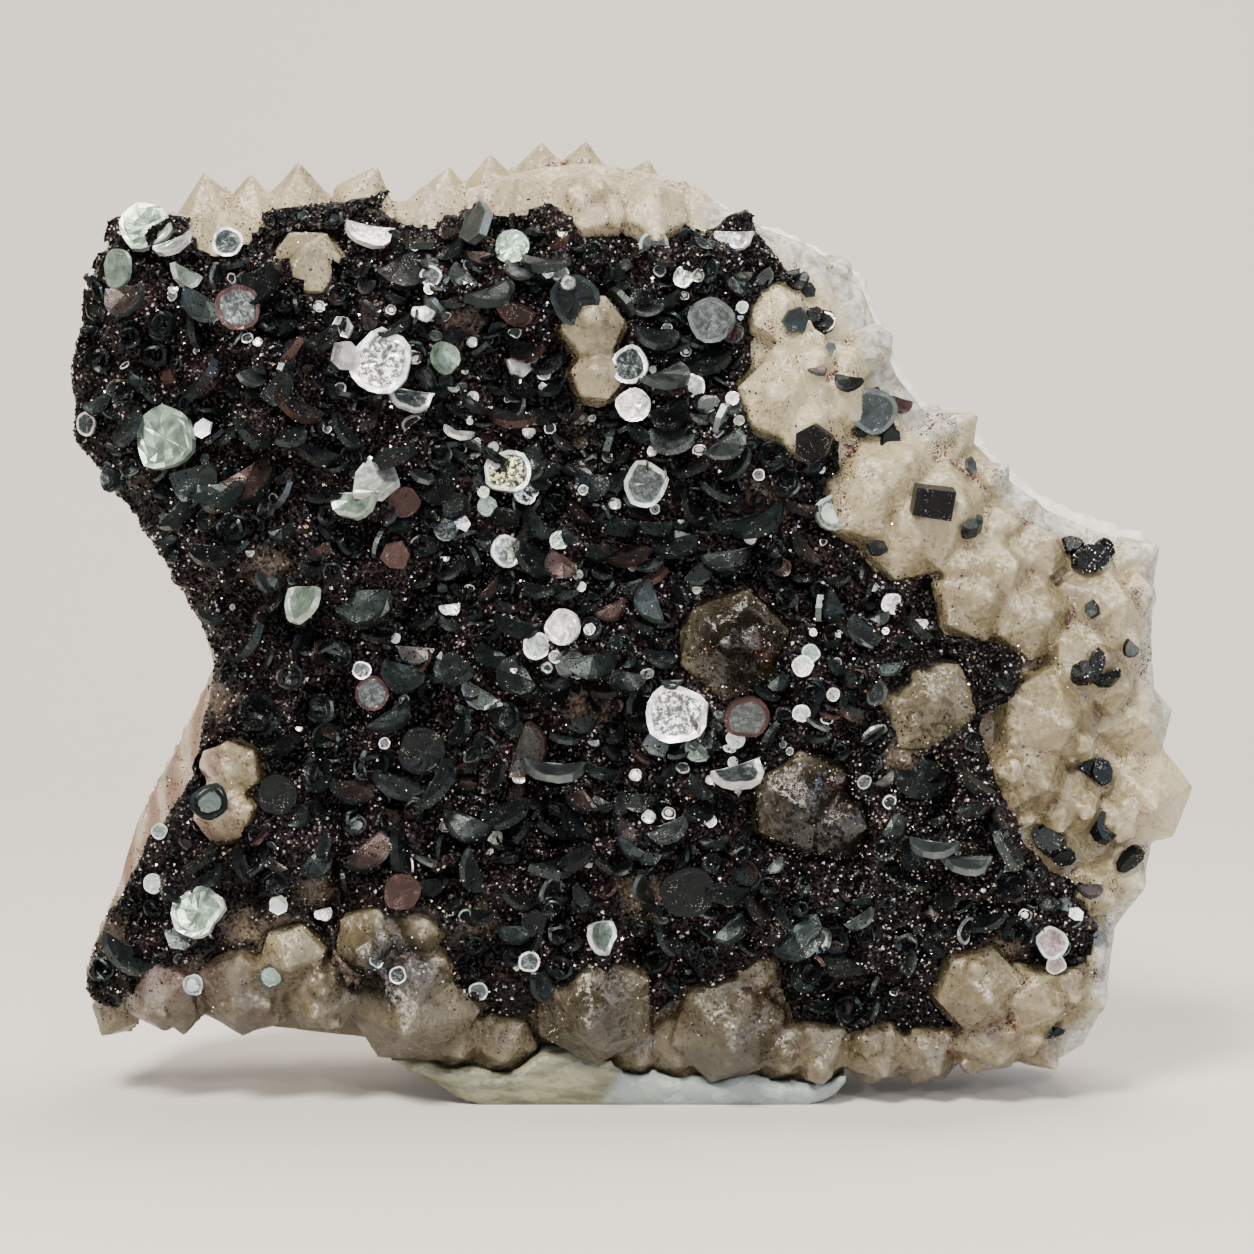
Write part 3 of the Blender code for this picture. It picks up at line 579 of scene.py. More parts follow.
high = ranged(tree, sides["Z"], *PALER_HIGH, 0.0, 0.6)
outer = ranged(tree, sides["X"], *PALER_OUT, 0.0, 0.6)
honey = mixed(tree, reckoned(tree, "MAXIMUM", high, outer), honey, linear("#E0D4AE"))
honey = mixed(tree, pink, honey, banding(tree, coordinates))
stained = toned(tree, veils.outputs["Fac"], (0.38, "#A7A08C"), (0.5, "#C3C6BA"), (0.66, "#DADFD6"))
honey = mixed(tree, rim_white, honey, stained)
smoke_tone = toned(tree, smoke, (0.4, "#463E34"), (0.95, "#12100C"))
honey = mixed(tree, smoke, honey, smoke_tone)
patches = add(tree, "TexNoise", [(coordinates, "Vector")], Scale=SPECKLED, Detail=6.0, Roughness=0.6)
patches = patches.outputs["Fac"]
creases = ranged(tree, ridge, -0.03, 0.0, 0.25, 0.0)
for scale, low, colour_code in SPECKS:
    cells = add(tree, "TexVoronoi", [(coordinates, "Vector")], Scale=scale).outputs["Distance"]
    reach = reckoned(tree, "ADD", ranged(tree, patches, low, 0.75, 0.0, 0.43), creases)
    honey = mixed(tree, reckoned(tree, "LESS_THAN", cells, reach), honey, linear(colour_code))
etch = add(tree, "TexNoise", [(coordinates, "Vector")], Scale=QUARTZ_ETCHING, Detail=5.0, Roughness=0.65)
relief = add(tree, "Bump", [(etch.outputs["Fac"], "Height")], Strength=0.4, Distance=0.0002)
faces = sparkling(tree, coordinates, 0.5, QUARTZ_FACES)
tree.links.new(sparkling(tree, coordinates, 0.45, QUARTZ_GLINTS, faces), relief.inputs["Normal"])
wire(tree, shader, Base_Color=honey, Normal=relief.outputs["Normal"], IOR=1.544, Transmission_Weight=0.4)
wire(tree, shader, Roughness=ranged(tree, clouds.outputs["Fac"], 0.3, 0.7, 0.34, 0.16))

druse_mesh = displaced(remeshed(druse_mesh, QUARTZ_VOXEL, QUARTZ_TRIANGLES), etched)
druse_mesh.set_sharp_from_angle(angle=QUARTZ_CREASE)
druse_ridges = ridges(druse_mesh)
painted(druse_mesh, "ridge", druse_ridges)
painted(druse_mesh, "smoke", by_place(druse_mesh, smoky))
painted(druse_mesh, "blush", by_place(druse_mesh, blush))
painted(druse_mesh, "rim_white", by_place(druse_mesh, pale_rim))
druse = object_of("quartz_crystals", druse_mesh, quartz)
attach(druse, "root")
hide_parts("quartz_druse")
druse_ground = ground_of(druse_mesh)

# The crust: hematite that coated the quartz, a humped ground of fine black crystals with a purplish cast
# and deep hollows between its humps, darkened with painted shade. Plates and grains stand on it, in the
# sections below.
CRUST_VOXEL = 0.55 * MM
HUMP_SPACING = 4.0 * MM
HUMP_HEIGHT = 2.3 * MM
CRUST_RELIEF = 0.35 * MM
RELIEF_APART = 0.9 * MM
RAGGED_APART = 0.8 * MM    # teeth of the bare patches' edges
# Patterns as repeats per metre: casts 3 mm apart, crystal faces 0.2. The real faces are finer, and these
# are as coarse as shows in the picture.
CRUST_CASTS = 350.0
CRUST_FACES = 5000.0
FRONT_LIMIT = cad_box[0][1] - 0.7 * MM    # nothing stands further forward than this
# x, z and radius of patches where brown smoky quartz shows through a thin crust.
BARE = [
    (-27.9, 14.4, 1.9), (-31.0, 15.6, 1.3), (-21.6, 14.0, 1.8), (-17.1, 14.3, 2.3), (-22.2, 11.9, 1.9),
    (-27.1, 12.1, 1.3), (-34.0, 11.5, 1.4), (-41.8, 14.4, 1.4), (-12.0, 16.0, 1.3), (-24.6, 18.6, 1.2),
    (-3.0, 33.5, 1.6), (12.8, 57.4, 1.4), (10.2, 49.0, 1.5), (-33.0, 34.0, 1.5), (1.0, 18.5, 1.6),
    (21.5, 29.0, 1.3), (-13.0, 63.0, 1.3), (-28.0, 44.0, 1.4), (30.0, 14.0, 1.2), (-38.0, 30.5, 1.3),
]


def hollowness(place):
    """0 on top of a hump and 1 at the bottom of the hollows between them."""
    return smooth((noise.voronoi(Vector(place) / HUMP_SPACING)[0][0] - 0.3) / 0.4)


def bareness(place):
    """1 in the middle of a bare patch, with a ragged edge, and 0 away from them."""
    x, z = listed(place)
    ragged = 0.6 * noise.noise(Vector(place) / RAGGED_APART)
    return max(smooth(1.6 - math.hypot(x - bx, z - bz) / radius + ragged) for bx, bz, radius in BARE)


def crusted(place, normal):
    """The humps and fine relief, on the side that faces front only."""
    hump = max(-0.45, 0.3 - noise.voronoi(place / HUMP_SPACING)[0][0])
    fine = noise.noise(place / RELIEF_APART + Vector((9, 0, 0)))
    facing_front = min(max(-normal.y + 0.3, 0.0), 1.0)
    return (HUMP_HEIGHT * hump + CRUST_RELIEF * fine) * facing_front


# Hematite, grown as fine crystals: near-black with a purplish cast, its many faces glinting apart.
black, tree, shader, coordinates = new_material("hematite_crust")
hollow_shade = add(tree, "Attribute", attribute_name="hollow_shade").outputs["Fac"]
cast = add(tree, "TexNoise", [(coordinates, "Vector")], Scale=CRUST_CASTS, Detail=4.0)
cast_and_hollow_shade = toned(tree, cast.outputs["Fac"], (0.4, "#0E0C0D"), (0.68, "#241819"))
# Painted shade: the hollows between the humps are darkened to near-black.
cast_and_hollow_shade = mixed(tree, hollow_shade, cast_and_hollow_shade, linear("#040404"))
bare = add(tree, "Attribute", attribute_name="bare").outputs["Fac"]
smoky_tone = toned(tree, cast.outputs["Fac"], (0.35, "#28211B"), (0.55, "#473D33"), (0.75, "#655A4B"))
cast_and_hollow_shade = mixed(tree, bare, cast_and_hollow_shade, smoky_tone)
wire(tree, shader, Base_Color=cast_and_hollow_shade, Normal=sparkling(tree, coordinates, 1.3, CRUST_FACES))
wire(tree, shader, Metallic=ranged(tree, bare, 0.0, 1.0, 0.6, 0.0), Roughness=0.3)
wire(tree, shader, Specular_IOR_Level=0.3)

crust_mesh = displaced(remeshed(cad_copy("hematite_crust"), CRUST_VOXEL), crusted)
for vert in crust_mesh.vertices:
    vert.co.y = max(vert.co.y, FRONT_LIMIT)
painted(crust_mesh, "hollow_shade", [hollowness(vert.co) for vert in crust_mesh.vertices])
painted(crust_mesh, "bare", [bareness(vert.co) for vert in crust_mesh.vertices])
crust = object_of("hematite_crust_ground", crust_mesh, black)
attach(crust, "root")
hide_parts("hematite_crust")
crust_ground = ground_of(crust_mesh)

# Plates: flat and cupped hematite crystals 1 to 5 mm across that grew out of the crust, metallic, most
# near-black. Some that face the light are sage or white, mottled inside a bright rim; the white faces and
# bright rims are painted reflections of the light.
# Patterns as repeats per metre: mottles 0.4 mm apart, worn patches 1.1 and grit 0.2.
PLATE_MOTTLES = 2600.0
PLATE_WEAR = 900.0
PLATE_GRIT = 6000.0
# bright and pale, on faces and rims, are painted reflections of the light.
PLATE_COLOURS = {
    "dark": "#15191A",
    "green_black": "#242D2D",
    "slate": "#394142",
    "grey": "#626A6B",
    "brown": "#43322F",
    "sage": "#8FA597",
    "pale": "#C3D0C8",
    "bright": "#FCFEFE",
    "red": "#46302F",
    "rose": "#AF9A9D",
    "straw": "#A8A37E",
    "black": "#090A0B",
}
# x, z, diameter, turn to the right, tilt up, form, face, rim, shine.
PLATES = [
    (-32.3, 70.0, 2.4, 0, 10, "disc", "grey", "bright", 0.9),
    (-40.9, 67.9, 3.2, -45, 0, "disc", "sage", "sage", 0.2),
    (-38.8, 71.0, 4.2, -10, 30, "broken", "sage", "pale", 0.3),
    (-36.4, 69.9, 3.4, -30, 40, "crescent", "pale", "bright", 0.3),
    (-36.0, 67.9, 3.4, 55, 10, "petal", "sage", "pale", 0.2),
    (-31.4, 64.7, 3.6, -5, 10, "disc", "grey", "red", 0.8),
    (-21.0, 71.0, 4.0, 20, 30, "crescent", "bright", "bright", 0.6),
    (-19.9, 60.3, 4.9, -5, 8, "broken", "bright", "bright", 0.9),
    (-22.6, 60.8, 2.6, -35, 5, "blade", "bright", "bright", 0.3),
    (-17.5, 57.8, 3.6, 10, 25, "crescent", "grey", "bright", 0.7),
    (-37.1, 54.1, 5.0, -20, 15, "broken", "sage", "sage", 0.1),
    (-43.6, 55.4, 1.9, -30, 0, "disc", "grey", "bright", 0.6),
    (-34.3, 55.0, 1.6, 0, 10, "blade", "bright", "bright", 0.3),
    (-21.4, 49.6, 4.4, -35, 20, "crescent", "sage", "pale", 0.3),
    (-20.3, 50.6, 4.0, -5, 45, "blade", "pale", "bright", 0.5),
    (-18.2, 49.2, 2.6, 15, -20, "disc", "brown", "brown", 0.3),
    (-18.9, 44.8, 2.4, 10, -5, "blade", "brown", "brown", 0.0),
    (-25.6, 41.2, 4.0, -50, 20, "crescent", "sage", "pale", 0.3),
    (-9.4, 69.6, 2.7, 0, 15, "disc", "sage", "sage", 0.1),
    (-4.4, 65.4, 3.9, 10, 0, "disc", "dark", "green_black", 0.0),
    (-8.8, 65.0, 3.2, -25, -20, "petal", "dark", "red", 0.1),
    (-11.9, 71.2, 3.6, -60, 20, "blade", "green_black", "grey", 0.1),
    (-11.5, 65.4, 4.4, 10, 60, "petal", "green_black", "green_black", 0.1),
    (-6.4, 68.2, 4.2, -15, 60, "petal", "dark", "green_black", 0.1),
    (6.7, 63.8, 3.6, -10, -5, "disc", "grey", "grey", 0.6),
    (8.6, 70.6, 3.2, -10, 25, "crescent", "bright", "bright", 0.6),
    (2.0, 69.8, 2.4, 5, -10, "disc", "grey", "pale", 0.5),
    (0.2, 60.1, 3.0, -20, 10, "disc", "grey", "bright", 0.9),
    (0.4, 56.9, 2.7, -5, 5, "disc", "bright", "bright", 0.4),
    (2.4, 58.9, 4.5, 25, 60, "petal", "green_black", "slate", 0.1),
    (1.4, 50.6, 3.5, -5, -5, "broken", "grey", "pale", 0.7),
    (5.2, 58.4, 1.9, 0, 10, "disc", "pale", "bright", 0.6),
    (-9.7, 51.4, 3.6, 0, 20, "broken", "straw", "pale", 1.0),
    (-8.4, 50.0, 2.2, 20, 10, "broken", "pale", "bright", 1.0),
    (-11.4, 48.8, 1.6, 0, 0, "disc", "sage", "sage", 0.0),
    (-9.9, 45.1, 2.6, 20, 10, "disc", "pale", "bright", 0.7),
    (-14.7, 46.9, 2.0, 0, 15, "disc", "grey", "grey", 0.4),
    (-13.4, 47.4, 1.3, 0, 5, "blade", "bright", "bright", 0.1),
    (-5.2, 39.0, 2.9, -25, 8, "disc", "bright", "bright", 0.1),
    (-7.4, 37.5, 2.2, 0, 5, "disc", "pale", "bright", 0.5),
    (-4.8, 36.2, 2.4, 10, -20, "disc", "grey", "grey", 0.4),
    (3.9, 32.0, 4.8, -8, 8, "broken", "bright", "bright", 0.9),
    (9.5, 31.9, 3.5, 5, -20, "disc", "grey", "red", 0.5),
    (5.5, 29.2, 2.2, 15, 15, "disc", "sage", "sage", 0.1),
    (8.6, 30.0, 1.5, 0, 0, "disc", "pale", "pale", 0.2),
    (8.3, 27.4, 4.6, 15, 45, "crescent", "grey", "bright", 0.7),
    (-5.6, 46.0, 1.5, 0, 10, "disc", "sage", "pale", 0.1),
    (-14.4, 40.8, 1.8, 0, 10, "crescent", "bright", "bright", 0.5),
    (14.0, 35.9, 1.7, 0, 5, "disc", "bright", "bright", 0.5),
    (14.6, 36.9, 1.5, 20, 15, "disc", "sage", "pale", 0.3),
    (13.9, 32.1, 1.4, 0, 0, "disc", "pale", "bright", 0.4),
    (15.0, 53.8, 3.2, -25, -12, "blade", "black", "dark", 0.0),
    (21.2, 40.9, 1.7, 0, 5, "disc", "bright", "bright", 0.7),
    (16.3, 48.0, 3.0, 10, 20, "cup", "sage", "pale", 0.7),
    (26.9, 20.2, 4.2, 15, 55, "petal", "green_black", "grey", 0.2),
    (24.8, 21.2, 4.0, -20, 65, "petal", "green_black", "grey", 0.2),
    (-34.6, 16.0, 4.2, -15, 25, "broken", "sage", "pale", 0.2),
    (-38.3, 18.4, 1.6, 0, 0, "disc", "pale", "pale", 0.3),
    (-37.8, 22.6, 1.3, 0, 0, "disc", "sage", "pale", 0.3),
    (-35.2, 10.3, 1.5, 0, 0, "disc", "sage", "sage", 0.1),
    (-33.7, 24.6, 3.0, 0, 35, "cup", "dark", "green_black", 0.1),
    (-24.6, 16.1, 1.5, 0, 10, "crescent", "bright", "bright", 0.5),
    (-28.2, 16.7, 1.5, 0, 0, "disc", "pale", "pale", 0.3),
    (-2.7, 14.5, 3.4, 55, 5, "crescent", "sage", "bright", 0.4),
    (-8.0, 12.1, 1.7, 0, 0, "disc", "grey", "bright", 0.7),
    (-12.1, 9.7, 1.5, 0, 0, "disc", "grey", "pale", 0.5),
    (-16.7, 29.1, 3.8, 10, -5, "disc", "dark", "dark", 0.0),
    (-28.2, 25.6, 3.2, -10, -5, "disc", "dark", "dark", 0.0),
    (-20.7, 33.7, 2.7, 5, 0, "disc", "grey", "red", 0.6),
    (-5.8, 27.4, 4.8, 0, 65, "petal", "dark", "grey", 0.1),
    (-18.3, 17.8, 3.0, 10, -10, "disc", "brown", "brown", 0.1),
    (4.7, 17.8, 4.2, 5, -10, "disc", "dark", "dark", 0.0),
    (-28.8, 10.9, 1.9, 0, -5, "disc", "sage", "slate", 0.1),
    (-35.2, 10.2, 1.7, 20, 10, "cup", "pale", "bright", 0.4),
    (-28.2, 16.6, 1.5, 5, 5, "blade", "pale", "bright", 0.2),
    (-18.6, 11.0, 1.4, 0, 5, "disc", "grey", "bright", 0.9),
    (-20.3, 12.2, 1.2, 10, 10, "crescent", "slate", "pale", 0.4),
    (-8.8, 60.0, 2.0, 20, 20, "blade", "pale", "bright", 0.4),
    (-15.9, 67.3, 1.7, -10, 0, "disc", "grey", "bright", 0.7),
    (-16.4, 64.5, 2.0, -10, 20, "crescent", "pale", "bright", 0.5),
    (-21.5, 35.5, 1.5, 0, 20, "disc", "grey", "bright", 0.5),
    (-5.6, 67.5, 1.5, 0, 30, "disc", "pale", "bright", 0.5),
    (15.8, 63.6, 1.7, -10, 20, "disc", "pale", "bright", 0.5),
    (4.5, 67.2, 1.8, -20, 20, "disc", "pale", "bright", 0.6),
    (-13.8, 54.5, 2.4, 30, 60, "petal", "pale", "bright", 0.2),
    (8.4, 62.8, 1.8, -10, 5, "disc", "brown", "slate", 0.3),
    (13.3, 63.8, 2.2, 20, -5, "blade", "green_black", "slate", 0.1),
    (-15.2, 60.6, 2.6, 40, 10, "cup", "sage", "sage", 0.4),
    (-30.8, 59.6, 3.0, 50, 20, "petal", "green_black", "grey", 0.1),
    (20.0, 45.3, 1.5, 10, 20, "blade", "dark", "dark", 0.0),
    (27.4, 52.0, 1.4, 50, 10, "blade", "grey", "grey", 0.2),
    (37.4, 40.4, 1.4, -20, 20, "blade", "dark", "dark", 0.0),
    (40.3, 37.5, 1.8, 40, -10, "petal", "grey", "dark", 0.0),
    (15.0, 59.6, 1.8, 30, 55, "petal", "brown", "slate", 0.0),
    (13.6, 66.9, 1.9, 0, 30, "petal", "dark", "dark", 0.0),
    (14.4, 66.1, 1.3, 30, 10, "blade", "dark", "dark", 0.0),
    (13.0, 67.6, 1.6, 10, 50, "petal", "dark", "slate", 0.0),
    (16.2, 61.4, 1.1, 0, 10, "blade", "slate", "grey", 0.1),
    (21.5, 57.3, 2.5, 35, 20, "petal", "brown", "brown", 0.0),
    (17.9, 58.8, 2.4, -25, 35, "petal", "dark", "dark", 0.0),
    (20.9, 54.3, 1.9, 30, -10, "blade", "green_black", "dark", 0.0),
    (34.0, 13.6, 2.6, 10, 5, "broken", "rose", "pale", 0.4),
    (34.4, 11.9, 1.6, 0, -10, "broken", "rose", "pale", 0.4),
    (37.9, 14.0, 1.2, 0, 0, "disc", "grey", "grey", 0.1),
    (36.0, 15.9, 1.2, 0, 10, "blade", "bright", "bright", 0.1),
    (37.0, 18.2, 2.2, 20, 15, "petal", "brown", "slate", 0.0),
    (34.0, 17.2, 2.4, -20, 20, "petal", "dark", "dark", 0.0),
]
# Insets of a plate's face, each with its width and the share that the rim's colour has there.
RIMMED = ((0.08, 1.0), (0.04, 0.0), (0.16, 0.0))
PLAIN = ((0.10, 0.3),)
# Where one side is cut straight, as a share of the plate's width from its middle.
CHORDS = (-0.1, 0.04, -0.2)
HALVES = (-0.05, 0.1, -0.15, 0.02)


def plate_form(seed, segments, thickness, dish, uneven, jagged, chord=None, rings=RIMMED):
    """A plate one unit across, lying in XY: dish cups it, and chord cuts one side straight.

    Its outline swells unevenly, and its corners are jagged. rings are insets of its face, each with the
    share that the rim's colour has there."""
    chance = random.Random(seed)
    phases = [chance.uniform(0, math.tau) for _ in range(4)]
    bm = bmesh.new()
    rim_layer = bm.verts.layers.float.new("rim")
    made = bmesh.ops.create_circle(bm, cap_ends=True, segments=segments, radius=0.5)
    face = made["verts"][0].link_faces[0]
    for vert in face.verts:
        angle = math.atan2(vert.co.y, vert.co.x)
        swell = sum(math.cos((turns + 1) * angle + phase) for turns, phase in enumerate(phases, 1)) / 2
        vert.co *= 1 + uneven * swell + chance.uniform(-jagged, jagged)
    upper = bmesh.ops.extrude_face_region(bm, geom=[face])
    top = next(item for item in upper["geom"] if isinstance(item, bmesh.types.BMFace))
    bmesh.ops.translate(bm, verts=top.verts, vec=(0, 0, thickness))
    for vert in bm.verts:
        vert[rim_layer] = 1.0
    for width, share in rings:
        bmesh.ops.inset_region(bm, faces=[top], thickness=width, depth=0)
        for vert in top.verts:
            vert[rim_layer] = share
    bmesh.ops.poke(bm, faces=[top])
    for vert in bm.verts:
        if chord is not None and vert.co.x < chord:
            vert.co.x = chord + 0.12 * (vert.co.x - chord)
        vert.co.z += dish * (vert.co.x**2 + vert.co.y**2) + 0.015 * chance.uniform(-1, 1)
    bmesh.ops.recalc_face_normals(bm, faces=bm.faces)
    bm.verts.index_update()
    shape = np.array([vert.co[:] for vert in bm.verts])
    # The operators leave the faces in a chance order, so they are sorted for the same result each run.
    sides = sorted(([vert.index for vert in side.verts] for side in bm.faces), key=sorted)
    rim = np.array([vert[rim_layer] for vert in bm.verts])
    bm.free()
    return shape, sides, rim


FORM_GROUPS = {
    "disc": [plate_form(seed, 18, 0.11, 0.1, 0.045, 0.008) for seed in range(4)],
    "broken": [plate_form(seed, 18, 0.12, 0.15, 0.07, 0.04) for seed in range(50, 54)],
    "cup": [plate_form(seed, 16, 0.13, 0.75, 0.06, 0.02) for seed in range(10, 13)],
    "crescent": [
        plate_form(seed, 18, 0.13, 0.5, 0.06, 0.03, chord) for seed, chord in enumerate(CHORDS, 20)
    ],
    "petal": [
        plate_form(seed, 14, 0.15, 0.4, 0.05, 0.01, chord, PLAIN) for seed, chord in enumerate(HALVES, 30)
    ],
    "blade": [plate_form(seed, 6, 0.2, 0.1, 0.12, 0.1, None, PLAIN) for seed in range(40, 43)],
    "block": [plate_form(60, 4, 0.5, 0.0, 0.0, 0.06, None, PLAIN)],
}
plate_forms = [form for group in FORM_GROUPS.values() for form in group]
form_numbers = {}
for kind, group in FORM_GROUPS.items():
    taken = sum(len(numbers) for numbers in form_numbers.values())
    form_numbers[kind] = range(taken, taken + len(group))


def joined(name, rows):
    """One mesh of many plates.

    A row is a form's number, place, 3x3 with the size, colour of the face, colour of the rim, shine."""
    vertices, faces, tints, rims, shines = [], [], [], [], []
    start = 0
    for form, place, turn, face_colour, rim_colour, shine in rows:
        shape, sides, rim = plate_forms[form]
        corners = shape @ turn.T + place
        corners[:, 1] += max(0.0, FRONT_LIMIT - corners[:, 1].min())
        vertices.append(corners)
        tints.append(face_colour + rim[:, None] * (rim_colour - face_colour))
        rims.append(rim)
        shines.append(np.full(len(shape), shine))
        faces.extend([[start + corner for corner in side] for side in sides])
        start += len(shape)
    mesh = bpy.data.meshes.new(name)
    mesh.from_pydata(np.concatenate(vertices), [], faces)
    mesh.update()
    tinted(mesh, np.concatenate(tints))
    painted(mesh, "rim", np.concatenate(rims))
    painted(mesh, "shine", np.concatenate(shines))
    return mesh


def tinted(mesh, colours):
    """Keeps a colour per vertex as the attribute tint."""
    rgba = np.ones((len(colours), 4), np.float32)
    rgba[:, :3] = colours
    mesh.attributes.new("tint", "FLOAT_COLOR", "POINT").data.foreach_set("color", rgba.ravel())


def facing(turn, tilt):
    """Rotation that lays a plate's face towards the viewer, turned to the right and tilted up."""
    return Matrix.Rotation(math.radians(turn), 3, "Z") @ Matrix.Rotation(math.radians(90 - tilt), 3, "X")


def colour(name, chance, spread=0.12):
    """A linear colour of the table, a little lighter or darker by chance."""
    return np.array(linear(PLATE_COLOURS[name])[:3]) * (1 + chance.uniform(-spread, spread))


def viewed(x, z):
    """Where the camera sees the specimen at a place in the tables, or None."""
    up = Vector((0, math.sin(CAMERA_RISE), math.cos(CAMERA_RISE)))
    right, height = at(x, z)
    spot = Vector((right, LOOK_AT.y, LOOK_AT.z)) + up * (height - LOOK_AT.z)
    ray = (spot - camera.location).normalized()
    hits = [ground.ray_cast(camera.location, ray)[0] for ground in (crust_ground, druse_ground)]
    return min((hit for hit in hits if hit), key=lambda hit: hit.y, default=None)


chance = random.Random(21)
plate_rows = []
plate_places = []
for x, z, diameter, turn, tilt, kind, face_name, rim_name, shine in PLATES:
    hit = viewed(x, z)
    if not hit:
        continue
    on_edge = math.sin(math.radians(max(abs(turn), abs(tilt))))
    place = hit + Vector((0, -max(0.5, 0.32 * diameter * on_edge) * MM, 0))
    round_below = kind in ("petal", "crescent")
    roll = chance.uniform(-0.6, 0.6) - math.pi / 2 if round_below else chance.uniform(0, math.tau)
    turned = facing(turn, tilt) @ Matrix.Rotation(roll, 3, "Z")
    plate_rows.append((
        chance.choice(form_numbers[kind]), np.array(place), np.array(turned) * diameter * MM,
        colour(face_name, chance, 0.05), colour(rim_name, chance, 0.05), shine,
    ))
    plate_places.append((*listed(hit), diameter / 2))

# Hematite plates, grown: half metallic, near-black where they mirror the dark. Their white and pale tints
# and bright rims are painted reflections of the light.
metal, tree, shader, coordinates = new_material("hematite_plates")
tint = add(tree, "Attribute", attribute_name="tint").outputs["Color"]
rim = add(tree, "Attribute", attribute_name="rim").outputs["Fac"]
shine = add(tree, "Attribute", attribute_name="shine").outputs["Fac"]
spots = add(tree, "TexNoise", [(coordinates, "Vector")], Scale=PLATE_MOTTLES, Detail=5.0, Roughness=0.75)
stains = spots.outputs["Fac"]
mottles = ranged(tree, stains, 0.50, 0.54, 1.0, 0.0)
inner = reckoned(tree, "SUBTRACT", 1.0, reckoned(tree, "MULTIPLY", rim, 0.8))
# Dark mottles inside the rim of shiny plates break up their painted reflection.
reflection_mottles = reckoned(tree, "MULTIPLY", mottles, reckoned(tree, "MULTIPLY", inner, shine))
broad = add(tree, "TexNoise", [(coordinates, "Vector")], Scale=PLATE_WEAR, Detail=4.0).outputs["Fac"]
# The tint carries the painted reflections; broad worn patches darken it and grit specks lighten it.
tint_reflections_and_wear = mixed(tree, ranged(tree, broad, 0.42, 0.6, 0.35, 0.0), tint, linear("#1B1D1D"))
grit = add(tree, "TexVoronoi", [(coordinates, "Vector")], Scale=PLATE_GRIT).outputs["Distance"]
gritty = reckoned(tree, "LESS_THAN", grit, ranged(tree, broad, 0.5, 0.72, 0.08, 0.42))
tint_reflections_and_wear = mixed(tree, reckoned(tree, "MULTIPLY", gritty, 0.45), tint_reflections_and_wear, linear("#A7A39C"))
wire(tree, shader, Base_Color=mixed(tree, reflection_mottles, tint_reflections_and_wear, linear("#1C2322")))
wire(tree, shader, Metallic=0.65, Specular_IOR_Level=0.2)
relief = add(tree, "Bump", [(stains, "Height")], Strength=0.25, Distance=0.0001)
wire(tree, shader, Roughness=ranged(tree, broad, 0.35, 0.65, 0.24, 0.42), Normal=relief.outputs["Normal"])

named_plates = object_of("hematite_plates_large", joined("hematite_plates_large", plate_rows), metal)
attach(named_plates, "root")

# Rosettes: smaller dark plates crowd the crust. Thick half-round petals stand out of it open side up,
# others stand in rings, and single ones lie between them. They are thickest at the top and middle, and
# sparse on the left and at the bottom, where fine grains show between them.
PETALS = 330
PETAL_SIZE = (1.8, 4.8)
ROSETTES = 120
ROSETTE_RADIUS = (0.9, 2.2)
ROSETTE_PETALS = (5, 8)
SINGLE_PLATES = 560
SINGLE_SIZE = (0.8, 2.6)
# The white rims of these tiny plates are painted highlights.
BRIGHT_PLATES = 150        # tiny ones with a white rim
BRIGHT_SIZE = (0.5, 1.2)
TRIES = 6000
# Clear distance between plates, as a share of their radii.
PETAL_SPACING = 0.62
ROSETTE_SPACING = 0.7
SINGLE_SPACING = 0.8
# x, z, reach across, reach up and weight of the places where rosettes crowd, and the share elsewhere.
CROWDED = [(-4, 60, 26, 14, 1.0), (4, 34, 18, 18, 0.6), (26, 20, 9, 8, 0.3)]
ELSEWHERE = 0.10
AROUND = [(0, 0), (1, 0), (-1, 0), (0, 1), (0, -1)]
ROSETTE_COLOURS = ["dark"] * 8 + ["green_black"] * 8 + ["slate"] * 4 + ["brown"] * 2
ROSETTE_RIMS = ["green_black"] * 8 + ["dark"] * 10 + ["slate"] * 3 + ["grey", "brown"]
SINGLE_COLOURS = ROSETTE_COLOURS + ["slate", "grey", "grey", "pale"]
# The pale and bright rims are painted highlights.
SINGLE_RIMS = ROSETTE_RIMS + ["grey"] * 3 + ["pale", "bright", "red"]
SINGLE_KINDS = ["petal"] * 3 + ["cup"] * 3 + ["crescent"] * 2 + ["disc"] * 4 + ["blade"] * 3


def crowding(x, z):
    """How thick the rosettes stand at a place in the tables, from 0 to 1."""
    share = ELSEWHERE
    for cx, cz, reach, rise, weight in CROWDED:
        share += weight * math.exp(-(((x - cx) / reach) ** 2 + ((z - cz) / rise) ** 2))
    return min(1.0, share)


def crust_spot(margin):
    """A chance place on the crust, that far inside its edge, likelier where the rosettes crowd."""
    while True:
        x, z = chance.uniform(-45, 39), chance.uniform(7, 74)
        if chance.random() < crowding(x, z):
            hits = [seen(crust_ground, *at(x + margin * i, z + margin * j)) for i, j in AROUND]
            if all(hits):
                return x, z, hits[0]


def clear(x, z, radius, share):
    """Whether x, z stays that share of the radii away from every plate so far."""
    return all(math.hypot(x - px, z - pz) > share * (radius + pr) for px, pz, pr in plate_places)


def dark_plate(kind, place, axis, outward, diameter, colours=ROSETTE_COLOURS, rims=ROSETTE_RIMS):
    """A row for joined(): a plate whose face looks along axis and whose round side points outward."""
    across_axis = (outward - axis * outward.dot(axis)).normalized()
    turned = Matrix((across_axis, axis.cross(across_axis), axis)).transposed()
    return (
        chance.choice(form_numbers[kind]), np.array(place), np.array(turned) * diameter,
        colour(chance.choice(colours), chance), colour(chance.choice(rims), chance), 0.5 * chance.random(),
    )


